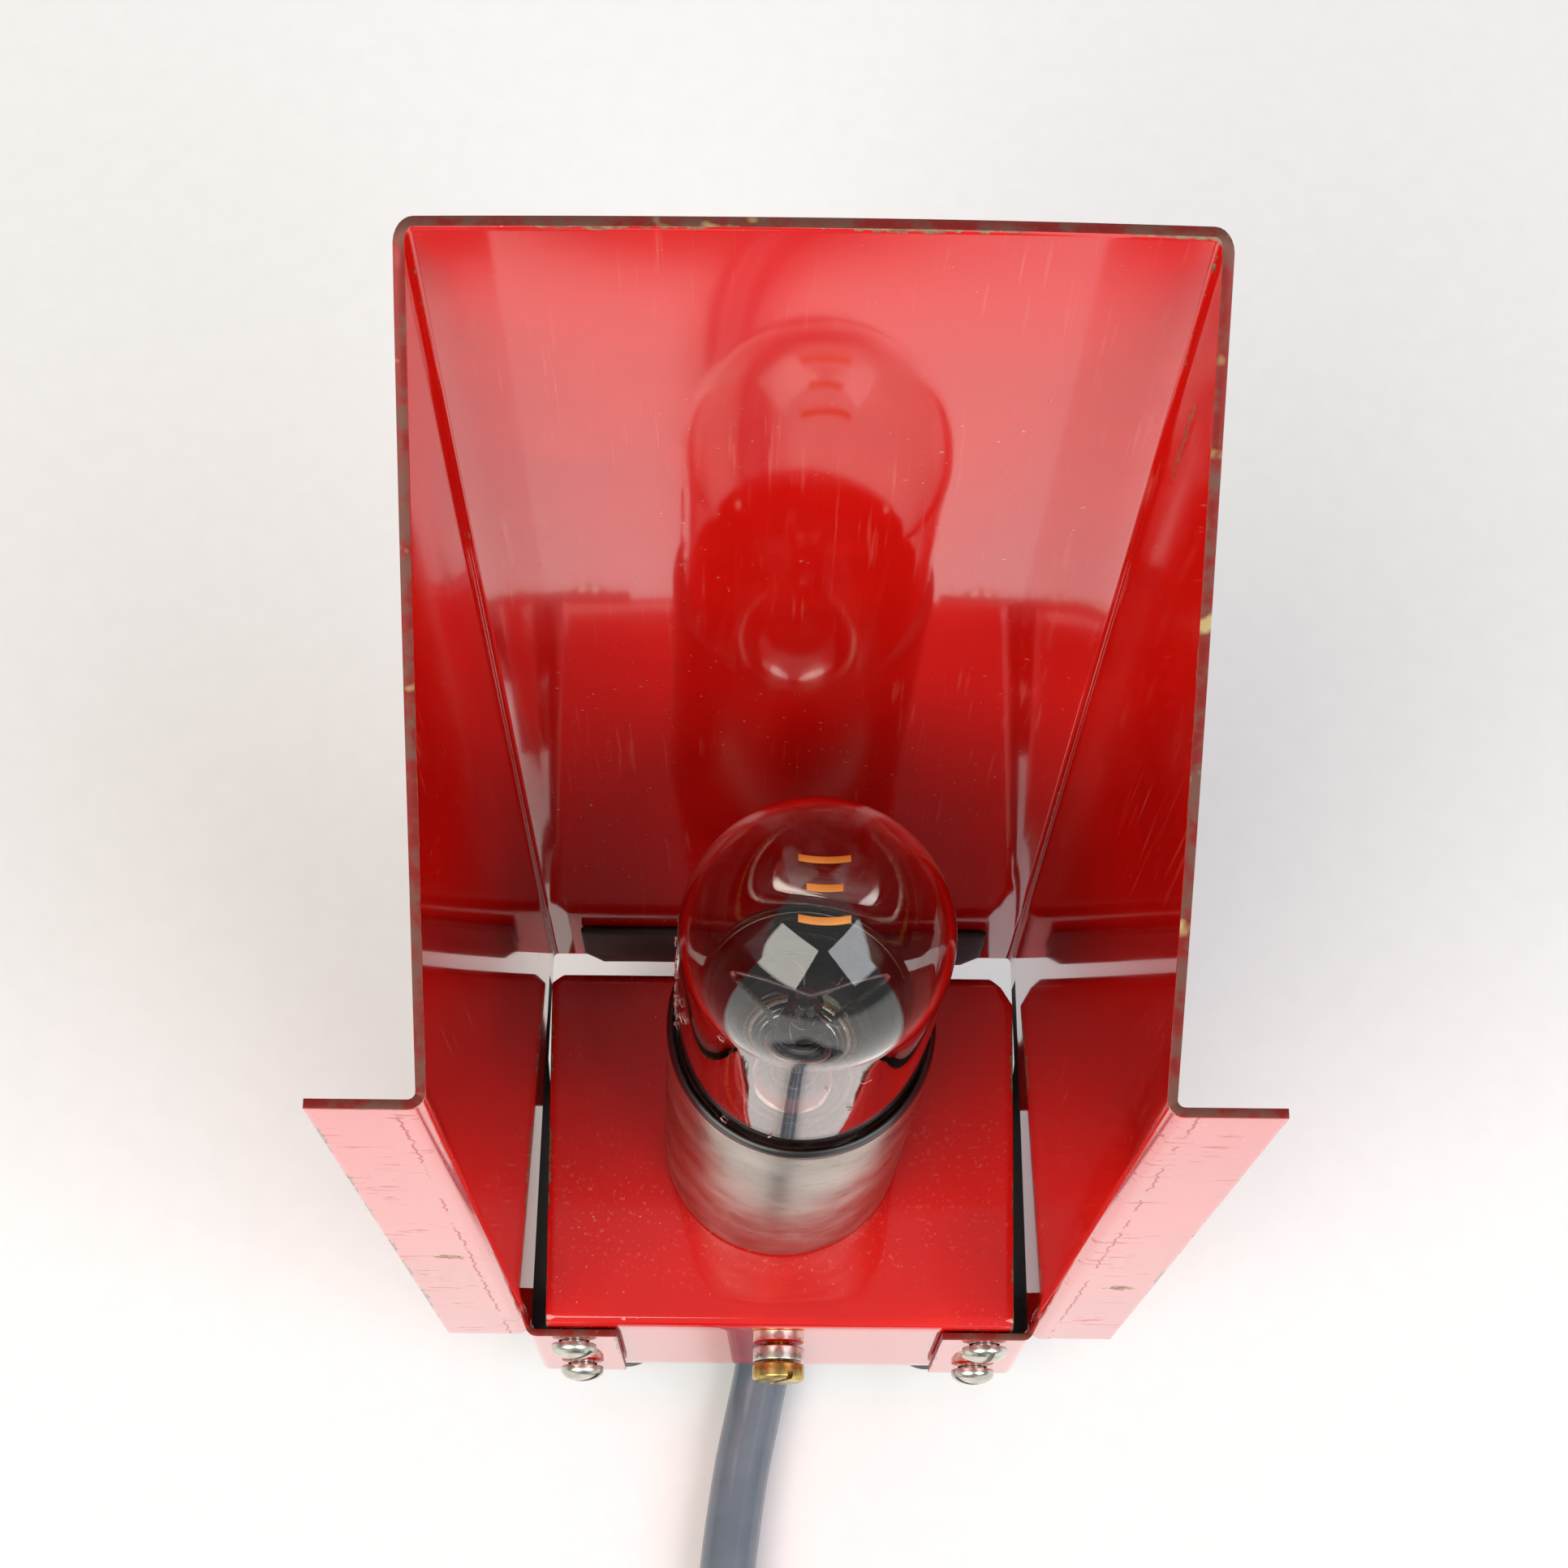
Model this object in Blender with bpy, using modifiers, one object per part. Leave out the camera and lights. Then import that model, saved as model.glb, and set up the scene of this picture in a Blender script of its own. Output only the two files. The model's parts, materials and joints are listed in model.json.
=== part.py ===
"""Darkroom safelight: a folded red hood on a chassis tray, with an E14 lamp, screws and a mains cord."""
import math

import bmesh
import bpy
from mathutils import Matrix, Vector

MM = 0.001
GAP = 0.3 * MM  # clearance between neighbouring pieces

# Hood, folded from one sheet
SHEET = 0.8 * MM
PANEL_Y = 25.1 * MM  # inner face of the back panel
BACK_HALF = 28.5 * MM  # half the inner width at the panel, at tray level
BACK_HALF_TOP = 27.4 * MM
FRONT_HALF = 29.1 * MM  # half the inner width at the front edges
HOOD_TOP = 201.4 * MM
FRONT_TOP = 150.2 * MM  # top of the front edges and their flanges
PANEL_FOOT = 34.8 * MM
WALL_FOOT = 12.0 * MM
FLANGE = 9.1 * MM
FRONT_Y = -22.35 * MM  # middle of the flange and tab sheet
TAB_END = 19.1 * MM
BEND = 1.0 * MM  # bend radius at the middle of the sheet
SEAL_TOP = 47.0 * MM
SEAL_HALF = 24.4 * MM
SEAL_THICK = 0.6 * MM

# Chassis tray
TRAY_TOP = 40.0 * MM
TRAY_FOOT = 9.0 * MM
TRAY_FRONT = -21.62 * MM
TRAY_BACK = 21.2 * MM
TRAY_HALF_BACK = 28.17 * MM
TRAY_HALF_FRONT = 27.4 * MM
LIP = 9.0 * MM
LIP_INNER_X = 13.0 * MM
FOOT_X = 19.5 * MM
FOOT_INSET = 5.3 * MM
FOOT_HOLE = 2.1 * MM
NIPPLE_HOLE = 5.3 * MM
CLIP_LEFT = (2.1 * MM, 1.4 * MM)  # clipped back corners, along X and Y
CLIP_RIGHT = (3.4 * MM, 2.4 * MM)

# Fixings
TAB_SCREW_X = 24.3 * MM
TAB_SCREW_Z = (17.0 * MM, 35.0 * MM)
MIDDLE_SCREW_Z = 25.4 * MM
THREAD = 1.5 * MM
HOLE = 1.85 * MM
NUT_FLATS = 5.5 * MM
NUT_THICK = 2.4 * MM
ARM_SHEET = 1.0 * MM

# Lamp and holder, heights above the tray on their own axis
LAMP_Y = 0.55 * MM
LEAN = 0.027  # the holder leans to the right by this many radians
MOUTH = 50.5 * MM
GLASS_R = 12.75 * MM
DOME = 82.0 * MM
CAP_FOOT = 19.0 * MM

# Cord
BOOT_IN = Vector((1.6, 13.0, 13.2)) * MM  # ends of the strain relief, inside the tray and towards the front
BOOT_OUT = Vector((-0.75, -11.5, 5.2)) * MM
CORD_R = 3.5 * MM
COIL = Vector((-14.0, -158.0, 1.6)) * MM
COIL_R = 39.5 * MM  # middle of the windings
COIL_W = 10.6 * MM  # half the width of the wound bundle
COIL_H = 14.2 * MM
TIE_HALF = 3.0 * MM  # half the width of the band round the windings
PLUG = Vector((27.2, -143.0, 27.0)) * MM  # where the plug's strain relief begins, over the coil
PLUG_R = 18.5 * MM
PLUG_TURN = -2.42  # the plug's direction seen from above, in radians from +X
PLUG_TILT = 0.15  # it rises towards its face

for item in list(bpy.data.objects):
    bpy.data.objects.remove(item, do_unlink=True)

parts = bpy.data.collections.new("darkroom_safelight")
cutters = bpy.data.collections.new("cutters")
for group in (parts, cutters):
    bpy.context.scene.collection.children.link(group)


def material(name, rgb, roughness, metallic=0.0, alpha=1.0):
    mat = bpy.data.materials.new(name)
    mat.use_nodes = True
    shader = mat.node_tree.nodes["Principled BSDF"]
    shader.inputs["Base Color"].default_value = (*rgb, 1.0)
    shader.inputs["Roughness"].default_value = roughness
    shader.inputs["Metallic"].default_value = metallic
    shader.inputs["Alpha"].default_value = alpha
    return mat


RED = material("red_enamel", (0.62, 0.01, 0.008), 0.12)
STEEL = material("zinc_plated_steel", (0.62, 0.62, 0.6), 0.3, 1.0)
BRASS = material("brass", (0.72, 0.55, 0.22), 0.3, 1.0)
SATIN = material("satin_steel", (0.45, 0.42, 0.39), 0.38, 1.0)
BLACK = material("black_phenolic", (0.012, 0.013, 0.013), 0.35)
RUBBER = material("black_rubber", (0.02, 0.02, 0.022), 0.7)
PORCELAIN = material("white_porcelain", (0.8, 0.78, 0.74), 0.3)
GLASS = material("clear_glass", (0.95, 0.97, 0.96), 0.02, 0.0, 0.25)
TUNGSTEN = material("tungsten", (0.25, 0.25, 0.26), 0.4, 1.0)
GREY_PVC = material("grey_pvc", (0.28, 0.31, 0.34), 0.3)
BROWN_PVC = material("brown_core", (0.12, 0.045, 0.02), 0.4)
BLUE_PVC = material("blue_core", (0.02, 0.1, 0.4), 0.4)


def empty(name, location, rotation=(0, 0, 0), parent=None):
    node = bpy.data.objects.new(name, None)
    node.location = location
    node.rotation_euler = rotation
    node.parent = parent
    parts.objects.link(node)
    return node


def add(name, mesh, mat=None, parent=None, group=parts):
    node = bpy.data.objects.new(name, mesh)
    if mat:
        node.data.materials.append(mat)
    node.parent = parent
    group.objects.link(node)
    if group is cutters:
        node.hide_render = True
        node.display_type = "WIRE"
    return node


def box(name, size, centre, mat=None, group=parts, parent=None):
    bm = bmesh.new()
    bmesh.ops.create_cube(bm, size=1.0)
    bmesh.ops.scale(bm, vec=size, verts=bm.verts)
    mesh = bpy.data.meshes.new(name)
    bm.to_mesh(mesh)
    bm.free()
    node = add(name, mesh, mat, parent, group)
    node.location = centre
    return node


def rod(name, radius, length, centre, axis="Z", sides=24, mat=None, group=parts, parent=None):
    bm = bmesh.new()
    bmesh.ops.create_cone(bm, cap_ends=True, segments=sides, radius1=radius, radius2=radius, depth=length)
    mesh = bpy.data.meshes.new(name)
    bm.to_mesh(mesh)
    bm.free()
    node = add(name, mesh, mat, parent, group)
    node.location = centre
    node.rotation_euler = {"Z": (0, 0, 0), "Y": (math.pi / 2, 0, 0), "X": (0, math.pi / 2, 0)}[axis]
    return node


def turned(name, profile, mat, closed=False, steps=28, location=(0, 0, 0), rotation=(0, 0, 0), parent=None):
    """Profile of (radius, height) in metres that runs down its outer side."""
    mesh = bpy.data.meshes.new(name)
    bm = bmesh.new()
    ring = [bm.verts.new((r, 0, z)) for r, z in profile]
    for a, b in zip(ring, ring[1:]):
        bm.edges.new((a, b))
    if closed:
        bm.edges.new((ring[-1], ring[0]))
    bm.to_mesh(mesh)
    bm.free()
    node = add(name, mesh, mat, parent)
    node.location = location
    node.rotation_euler = rotation
    screw = node.modifiers.new("Turn", "SCREW")
    screw.steps = screw.render_steps = steps
    screw.use_merge_vertices = True
    screw.merge_threshold = 0.000005
    screw.use_smooth_shade = True
    return node


def outline(name, points, depth, mat=None, group=parts, bevel=0.0):
    """Flat outline in XY, extruded to +-depth, as a mesh."""
    curve = bpy.data.curves.new(name, "CURVE")
    curve.dimensions = "2D"
    curve.fill_mode = "BOTH"
    curve.extrude = depth
    curve.bevel_depth = bevel
    curve.bevel_resolution = 1
    spline = curve.splines.new("POLY")
    spline.points.add(len(points) - 1)
    for point, (x, y) in zip(spline.points, points):
        point.co = (x, y, 0, 1)
    spline.use_cyclic_u = True
    return meshed(add(name, curve, mat, None, group), group)


def meshed(node, group=parts):
    """Turns a curve object into a welded mesh object of the same name and place."""
    bpy.context.view_layer.update()
    name, matrix, curve = node.name, node.matrix_world.copy(), node.data
    mesh = bpy.data.meshes.new_from_object(node.evaluated_get(bpy.context.evaluated_depsgraph_get()))
    bm = bmesh.new()
    bm.from_mesh(mesh)
    bmesh.ops.remove_doubles(bm, verts=bm.verts, dist=0.000002)
    bmesh.ops.recalc_face_normals(bm, faces=bm.faces)
    bm.to_mesh(mesh)
    bm.free()
    bpy.data.objects.remove(node)
    bpy.data.curves.remove(curve)
    solid = add(name, mesh, None, None, group)
    solid.matrix_world = matrix
    return solid


def upright(node):
    """Turns a flat outline so that its X runs along Y, its Y along Z, and its depth along X."""
    node.data.transform(Matrix.Rotation(math.pi / 2, 4, "X"))
    node.data.transform(Matrix.Rotation(math.pi / 2, 4, "Z"))
    return node


def combine(node, other, operation="DIFFERENCE"):
    cut = node.modifiers.new(operation.title(), "BOOLEAN")
    cut.operation = operation
    cut.solver = "EXACT"
    cut.object = other
    return node


def folded(corners, thickness, radius, turns=4):
    """Closed outline of a folded sheet whose middle line runs through the corners."""
    line = []
    points = [Vector(c) for c in corners]
    for i, p in enumerate(points):
        if i in (0, len(points) - 1):
            line.append((p, (points[1] - p if i == 0 else p - points[-2]).normalized()))
            continue
        before, after = (p - points[i - 1]).normalized(), (points[i + 1] - p).normalized()
        angle = before.angle_signed(after)
        reach = radius * math.tan(abs(angle) / 2)
        start = p - before * reach
        side = -1 if angle > 0 else 1
        centre = start + Vector((-before.y, before.x)) * radius * side
        for k in range(turns + 1):
            spin = Matrix.Rotation(-angle * k / turns, 2)
            line.append((centre + spin @ (start - centre), spin @ before))
    left = [p + Vector((-d.y, d.x)) * thickness / 2 for p, d in line]
    right = [p - Vector((-d.y, d.x)) * thickness / 2 for p, d in line]
    return [tuple(v) for v in left + right[::-1]]


def smooth_path(points, spacing):
    """Points along a Catmull-Rom curve through the given ones."""
    pts = [Vector(p) for p in points]
    pts = [pts[0] * 2 - pts[1]] + pts + [pts[-1] * 2 - pts[-2]]
    path = []
    for a, b, c, d in zip(pts, pts[1:], pts[2:], pts[3:]):
        count = max(1, round((c - b).length / spacing))
        for k in range(count):
            t = k / count
            path.append(0.5 * ((2 * b) + (c - a) * t + (2 * a - 5 * b + 4 * c - d) * t ** 2
                               + (3 * b - a - 3 * c + d) * t ** 3))
    return path + [pts[-2]]


def tube(name, path, radius, mat, resolution=2, parent=None):
    curve = bpy.data.curves.new(name, "CURVE")
    curve.dimensions = "3D"
    curve.bevel_depth = radius
    curve.bevel_resolution = resolution
    curve.use_fill_caps = True
    spline = curve.splines.new("POLY")
    spline.points.add(len(path) - 1)
    for point, place in zip(spline.points, path):
        point.co = (*place, 1)
    return add(name, curve, mat, parent)


def build_hood():
    mid = SHEET / 2
    panel = PANEL_Y + mid
    edge = FRONT_HALF + mid
    corners = [(-edge - FLANGE, FRONT_Y), (-edge, FRONT_Y), (-BACK_HALF - mid, panel),
               (BACK_HALF + mid, panel), (edge, FRONT_Y), (edge + FLANGE, FRONT_Y)]
    height = HOOD_TOP - WALL_FOOT
    hood = outline("hood", folded(corners, SHEET, BEND), height / 2, RED)
    hood.data.transform(Matrix.Translation((0, 0, WALL_FOOT + height / 2)))
    for vert in hood.data.vertices:  # the back narrows a little towards the top
        rise = (vert.co.z - TRAY_TOP) / (HOOD_TOP - TRAY_TOP)
        back = (vert.co.y - FRONT_Y) / (PANEL_Y - FRONT_Y)
        vert.co.x -= math.copysign((BACK_HALF - BACK_HALF_TOP) * rise * back, vert.co.x)
    hood.data.materials.append(RED)

    far = 60 * MM
    slope = [(PANEL_Y + SHEET, HOOD_TOP), (FRONT_Y + SHEET, FRONT_TOP), (-far, FRONT_TOP),
             (-far, 2 * HOOD_TOP), (far, 2 * HOOD_TOP), (far, HOOD_TOP)]
    foot = [(far, PANEL_FOOT), (11.6 * MM, PANEL_FOOT), (8.0 * MM, 26 * MM), (8.0 * MM, -far), (far, -far)]
    for name, shape in (("cut_slope", slope), ("cut_foot", foot)):
        cutter = outline(name, shape, far, None, cutters)
        combine(hood, upright(cutter))
    for side in (-1, 1):
        wide = 20 * MM
        combine(hood, box(f"cut_flange_{side}", (wide, wide, 2 * TRAY_TOP),
                          (side * (FRONT_HALF + SHEET + wide / 2 - 0.25 * MM), FRONT_Y, 0), None, cutters))
        top, low = TRAY_TOP - 1.5 * MM, WALL_FOOT
        bend = [(side * (FRONT_HALF + mid - 0.1 * MM), -12 * MM), (side * (FRONT_HALF + mid), FRONT_Y),
                (side * TAB_END, FRONT_Y)]
        tab = outline(f"tab_{side}", folded(bend, SHEET + 0.04 * MM, BEND), (top - low) / 2, None, cutters)
        tab.data.transform(Matrix.Translation((0, 0, (top + low) / 2)))
        combine(hood, tab, "UNION")
        for k, z in enumerate(TAB_SCREW_Z):
            combine(hood, rod(f"cut_tab_{side}_{k}", HOLE, 8 * MM, (side * TAB_SCREW_X, FRONT_Y, z), "Y",
                              16, None, cutters))
    return hood


def build_seal():
    clip = 2.2 * MM
    low, high = PANEL_FOOT - 0.4 * MM, SEAL_TOP
    shape = [(-SEAL_HALF, high), (-SEAL_HALF, low + clip * 1.6), (-SEAL_HALF + clip, low),
             (SEAL_HALF - clip, low), (SEAL_HALF, low + clip * 1.6), (SEAL_HALF, high)]
    seal = outline("seal_strip", shape, SEAL_THICK / 2)
    seal.data.materials.append(RUBBER)
    seal.data.transform(Matrix.Rotation(math.pi / 2, 4, "X"))
    seal.location = (0, PANEL_Y - GAP - SEAL_THICK / 2, 0)
    return seal


def build_tray():
    mid = SHEET / 2
    front, back = TRAY_FRONT + mid, TRAY_BACK - mid
    top, low = TRAY_TOP - mid, TRAY_FOOT + mid
    section = folded([(front + LIP, low), (front, low), (front, top), (back, top), (back, low),
                      (back - LIP, low)], SHEET, BEND)
    tray = upright(outline("tray", section, TRAY_HALF_BACK + 4 * MM))
    tray.data.materials.append(RED)
    past = 5 * MM
    taper = (TRAY_HALF_BACK - TRAY_HALF_FRONT) * past / (TRAY_BACK - TRAY_FRONT)
    right, left = TRAY_HALF_BACK - CLIP_RIGHT[0], CLIP_LEFT[0] - TRAY_HALF_BACK
    plan = [(-TRAY_HALF_FRONT + taper, TRAY_FRONT - past), (TRAY_HALF_FRONT - taper, TRAY_FRONT - past),
            (TRAY_HALF_BACK, TRAY_BACK - CLIP_RIGHT[1]), (right, TRAY_BACK), (right, TRAY_BACK + past),
            (left, TRAY_BACK + past), (left, TRAY_BACK), (-TRAY_HALF_BACK, TRAY_BACK - CLIP_LEFT[1])]
    edge = outline("plan_edge", plan, 60 * MM, None, cutters)
    combine(tray, edge, "INTERSECT")
    below = 20 * MM
    combine(tray, box("cut_lips", (2 * LIP_INNER_X, 2 * (TRAY_BACK - TRAY_FRONT), below),
                      (0, 0, TRAY_FOOT + SHEET + 0.6 * MM - below / 2), None, cutters))
    combine(tray, rod("cut_nipple", NIPPLE_HOLE, 8 * MM, (0, LAMP_Y, TRAY_TOP), "Z", 24, None, cutters))
    spots = [(side * TAB_SCREW_X, z) for side in (-1, 1) for z in TAB_SCREW_Z] + [(0, MIDDLE_SCREW_Z)]
    for k, (x, z) in enumerate(spots):
        combine(tray, rod(f"cut_tray_{k}", HOLE, 6 * MM, (x, TRAY_FRONT, z), "Y", 16, None, cutters))
    for k, (x, y) in enumerate(foot_spots()):
        combine(tray, rod(f"cut_foot_{k}", FOOT_HOLE, 6 * MM, (x, y, TRAY_FOOT), "Z", 16, None, cutters))
    return tray


def foot_spots():
    return [(x, y) for y in (TRAY_FRONT + FOOT_INSET, TRAY_BACK - FOOT_INSET) for x in (-FOOT_X, FOOT_X)]


def build_feet():
    under = TRAY_FOOT - GAP
    over = TRAY_FOOT + SHEET + GAP
    button = over + 2.4 * MM
    profile = [(0, button), (1.5 * MM, button), (2.9 * MM, over + 0.4 * MM), (2.9 * MM, over),
               (1.75 * MM, over), (1.75 * MM, under), (4.6 * MM, under), (5.0 * MM, under - 0.5 * MM),
               (4.4 * MM, 0.6 * MM), (3.8 * MM, 0), (0, 0)]
    for k, (x, y) in enumerate(foot_spots()):
        turned(f"foot_{k + 1}", profile, RUBBER, steps=20, location=(x, y, 0))


def screw(name, head_r, head_h, shank, face_y, x, z, mat, domed):
    """A screw that points to +Y, its head's seat at face_y - GAP."""
    crown = [(0, head_h), (head_r * 0.55, head_h * 0.97), (head_r * 0.88, head_h * 0.72),
             (head_r, head_h * 0.3)]
    flat = [(0, head_h), (head_r * 0.86, head_h), (head_r, head_h * 0.8)]
    profile = (crown if domed else flat) + [(head_r, 0), (THREAD, 0), (THREAD, -shank), (0, -shank)]
    node = turned(name, profile, mat, steps=20, location=(x, face_y - GAP, z), rotation=(math.pi / 2, 0, 0))
    slot = box(f"slot_{name}", (head_r * 3, 0.7 * MM, head_h * 0.9),
               (x, face_y - GAP - head_h, z), None, cutters)
    slot.rotation_euler = (math.pi / 2, 0.5 if x < 0 else -0.35, 0)
    combine(node, slot)
    return node


def hexagon(name, flats, thickness, bore, centre, axis, mat):
    nut = rod(name, flats / 2 / math.cos(math.pi / 6), thickness, centre, axis, 6, mat)
    hole = rod(f"bore_{name}", bore, thickness * 3, centre, axis, 20, None, cutters)
    return combine(nut, hole)


def build_fixings():
    inner = TRAY_FRONT + SHEET
    for side, tag in ((-1, "left"), (1, "right")):
        for z, level in zip(TAB_SCREW_Z, ("lower", "upper")):
            face = FRONT_Y - SHEET / 2 - 0.02 * MM
            screw(f"tab_screw_{tag}_{level}", 2.65 * MM, 1.8 * MM, 7.4 * MM, face, side * TAB_SCREW_X, z,
                  STEEL, True)
            hexagon(f"tab_nut_{tag}_{level}", NUT_FLATS, NUT_THICK, HOLE,
                    (side * TAB_SCREW_X, inner + GAP + NUT_THICK / 2, z), "Y", STEEL)
    collar = 1.7 * MM
    face = TRAY_FRONT - GAP
    turned("middle_collar", [(3.1 * MM, collar), (3.1 * MM, 0), (HOLE, 0), (HOLE, collar)], STEEL, True, 24,
           (0, face, MIDDLE_SCREW_Z), (math.pi / 2, 0, 0))
    screw("middle_screw", 3.15 * MM, 1.98 * MM, 9.6 * MM, face - collar, 0, MIDDLE_SCREW_Z, BRASS, False)
    behind_arm = inner + 2 * GAP + ARM_SHEET + NUT_THICK / 2
    hexagon("middle_nut", NUT_FLATS, NUT_THICK, HOLE, (0, behind_arm + GAP, MIDDLE_SCREW_Z), "Y", STEEL)


def build_holder(axis):
    turned("holder_sleeve", [(13.7 * MM, MOUTH), (14.0 * MM, 1.0 * MM), (13.8 * MM, 0.75 * MM),
                             (13.2 * MM, 0.75 * MM), (13.0 * MM, MOUTH)], SATIN, True, 40, parent=axis)
    low = MOUTH + GAP
    turned("holder_ring", [(13.25 * MM, low + 1.5 * MM), (13.55 * MM, low + 1.3 * MM),
                           (13.72 * MM, low + 0.8 * MM), (13.72 * MM, low), (13.02 * MM, low),
                           (13.02 * MM, low + 1.3 * MM)], BLACK, True, 40, parent=axis)
    turned("holder_insulator", [(8.9 * MM, 16.0 * MM), (12.6 * MM, 14.6 * MM), (12.7 * MM, 1.3 * MM),
                                (5.3 * MM, 1.3 * MM), (5.3 * MM, 6.4 * MM), (4.3 * MM, 6.4 * MM),
                                (4.3 * MM, 11.4 * MM), (1.55 * MM, 11.4 * MM), (1.55 * MM, 16.0 * MM)],
           PORCELAIN, True, 24, parent=axis)
    top = 35.0 * MM
    turned("threaded_shell", [(7.9 * MM, top), (7.9 * MM, 17.0 * MM), (8.8 * MM, 17.0 * MM),
                              (8.8 * MM, 16.3 * MM), (7.3 * MM, 16.3 * MM), (7.3 * MM, top)],
           BRASS, True, 28, parent=axis)
    turned("shell_insulator", [(9.9 * MM, 36.4 * MM), (10.4 * MM, 17.4 * MM), (9.2 * MM, 17.4 * MM),
                               (8.25 * MM, 18.2 * MM), (8.25 * MM, 36.4 * MM)],
           PORCELAIN, True, 28, parent=axis)
    turned("nipple", [(5.0 * MM, 6.0 * MM), (5.0 * MM, -9.0 * MM), (3.7 * MM, -9.0 * MM),
                      (3.7 * MM, 6.0 * MM)], STEEL, True, 24, parent=axis)
    thick = 3.0 * MM
    under = (0, 0, -SHEET - 2 * GAP - thick / 2)
    nut = rod("lock_nut", 8.1 * MM, thick, under, "Z", 6, STEEL, parts, axis)
    hole = rod("bore_lock_nut", NIPPLE_HOLE, 3 * thick, under, "Z", 24, None, cutters, axis)
    combine(nut, hole)


def build_contact(axis):
    """Sprung plunger that stays under the lamp's end contact; it slides along the holder's axis."""
    slide = empty("contact_slide", (0, 0, CAP_FOOT - GAP), parent=axis)
    turned("centre_contact", [(0, 0), (1.7 * MM, 0), (2.3 * MM, -0.5 * MM), (2.3 * MM, -1.6 * MM),
                              (1.2 * MM, -1.6 * MM), (1.2 * MM, -6.4 * MM), (0, -6.4 * MM)], BRASS, steps=20,
           parent=slide)


def build_lamp(axis):
    """Tubular lamp with a small Edison screw cap, on its own turning axis."""
    turn = empty("lamp_turn_axis", (0, 0, CAP_FOOT), parent=axis)
    turned("lamp_end_contact", [(0, 1.1 * MM), (2.2 * MM, 1.1 * MM), (2.2 * MM, 0.4 * MM), (1.6 * MM, 0),
                                (0, 0)], STEEL, steps=20, parent=turn)
    turned("lamp_vitrite", [(0, 3.2 * MM), (5.4 * MM, 3.2 * MM), (5.6 * MM, 2.6 * MM), (2.9 * MM, 1.4 * MM),
                            (0, 1.4 * MM)], BLACK, steps=24, parent=turn)
    low, pitch, ridges = 3.5 * MM, 2.822 * MM, 4
    outer = [(6.6 * MM, low + 14.6 * MM), (6.6 * MM, low + pitch * ridges + 1.2 * MM)]
    for k in range(ridges * 4, -1, -1):
        outer.append((6.62 * MM + 0.3 * MM * math.cos(2 * math.pi * k / 4), low + 0.4 * MM + pitch * k / 4))
    turned("lamp_cap", outer + [(6.4 * MM, low), (6.0 * MM, low), (6.0 * MM, low + 14.6 * MM)],
           STEEL, True, 24, parent=turn)

    shoulder, wall = 27.5 * MM, 0.7 * MM
    dome = DOME - CAP_FOOT
    tall = 1.04
    outer, inner = [], []
    for k in range(9):
        a = math.pi / 2 * (1 - k / 8)
        outer.append((GLASS_R * math.cos(a), dome + GLASS_R * tall * math.sin(a)))
        inner.append(((GLASS_R - wall) * math.cos(a), dome + (GLASS_R * tall - wall) * math.sin(a)))
    neck = [(GLASS_R, shoulder), (12.3 * MM, 25.0 * MM), (10.6 * MM, 22.2 * MM), (8.0 * MM, 19.9 * MM),
            (6.4 * MM, 18.8 * MM), (5.7 * MM, 17.8 * MM), (5.7 * MM, 13.0 * MM)]
    lining = [(r - wall, z + (0.35 * MM if 6 * MM < r < GLASS_R else 0)) for r, z in neck]
    outer[0], inner[0] = (0, outer[0][1]), (0, inner[0][1])
    turned("lamp_glass", outer + neck + lining[::-1] + inner[::-1], GLASS, steps=32, parent=turn)

    turned("lamp_stem", [(0, 42.0 * MM), (1.3 * MM, 41.6 * MM), (1.9 * MM, 40.4 * MM), (1.4 * MM, 39.0 * MM),
                         (1.3 * MM, 33.0 * MM), (2.7 * MM, 31.0 * MM), (2.9 * MM, 27.5 * MM),
                         (3.0 * MM, 20.0 * MM), (4.4 * MM, 14.2 * MM), (4.4 * MM, 13.6 * MM),
                         (0, 13.6 * MM)], GLASS, steps=20, parent=turn)
    for side, tag in ((-1, "left"), (1, "right")):
        route = [(side * 3.35 * MM, 0, 30.5 * MM), (side * 3.9 * MM, 0, 36 * MM),
                 (side * 6.2 * MM, 0, 44 * MM), (side * 7.6 * MM, 0, 50 * MM)]
        tube(f"lamp_lead_{tag}", smooth_path(route, 2.5 * MM), 0.3 * MM, TUNGSTEN, 1, turn)
    route = []
    for k in range(25):
        s = -1 + 2 * k / 24
        route.append((s * 7.6 * MM, -2.2 * MM * math.sin(math.pi * (s + 1) / 2),
                      (50.9 + 2.2 * abs(math.sin(math.pi * (s + 1)))) * MM))
    tube("lamp_filament", route, 0.22 * MM, TUNGSTEN, 1, turn)
    tube("lamp_support", smooth_path([(0, 0, 42.4 * MM), (0, -1.0 * MM, 46 * MM), (0, -1.7 * MM, 50 * MM)],
                                     2.5 * MM), 0.2 * MM, TUNGSTEN, 1, turn)


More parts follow.
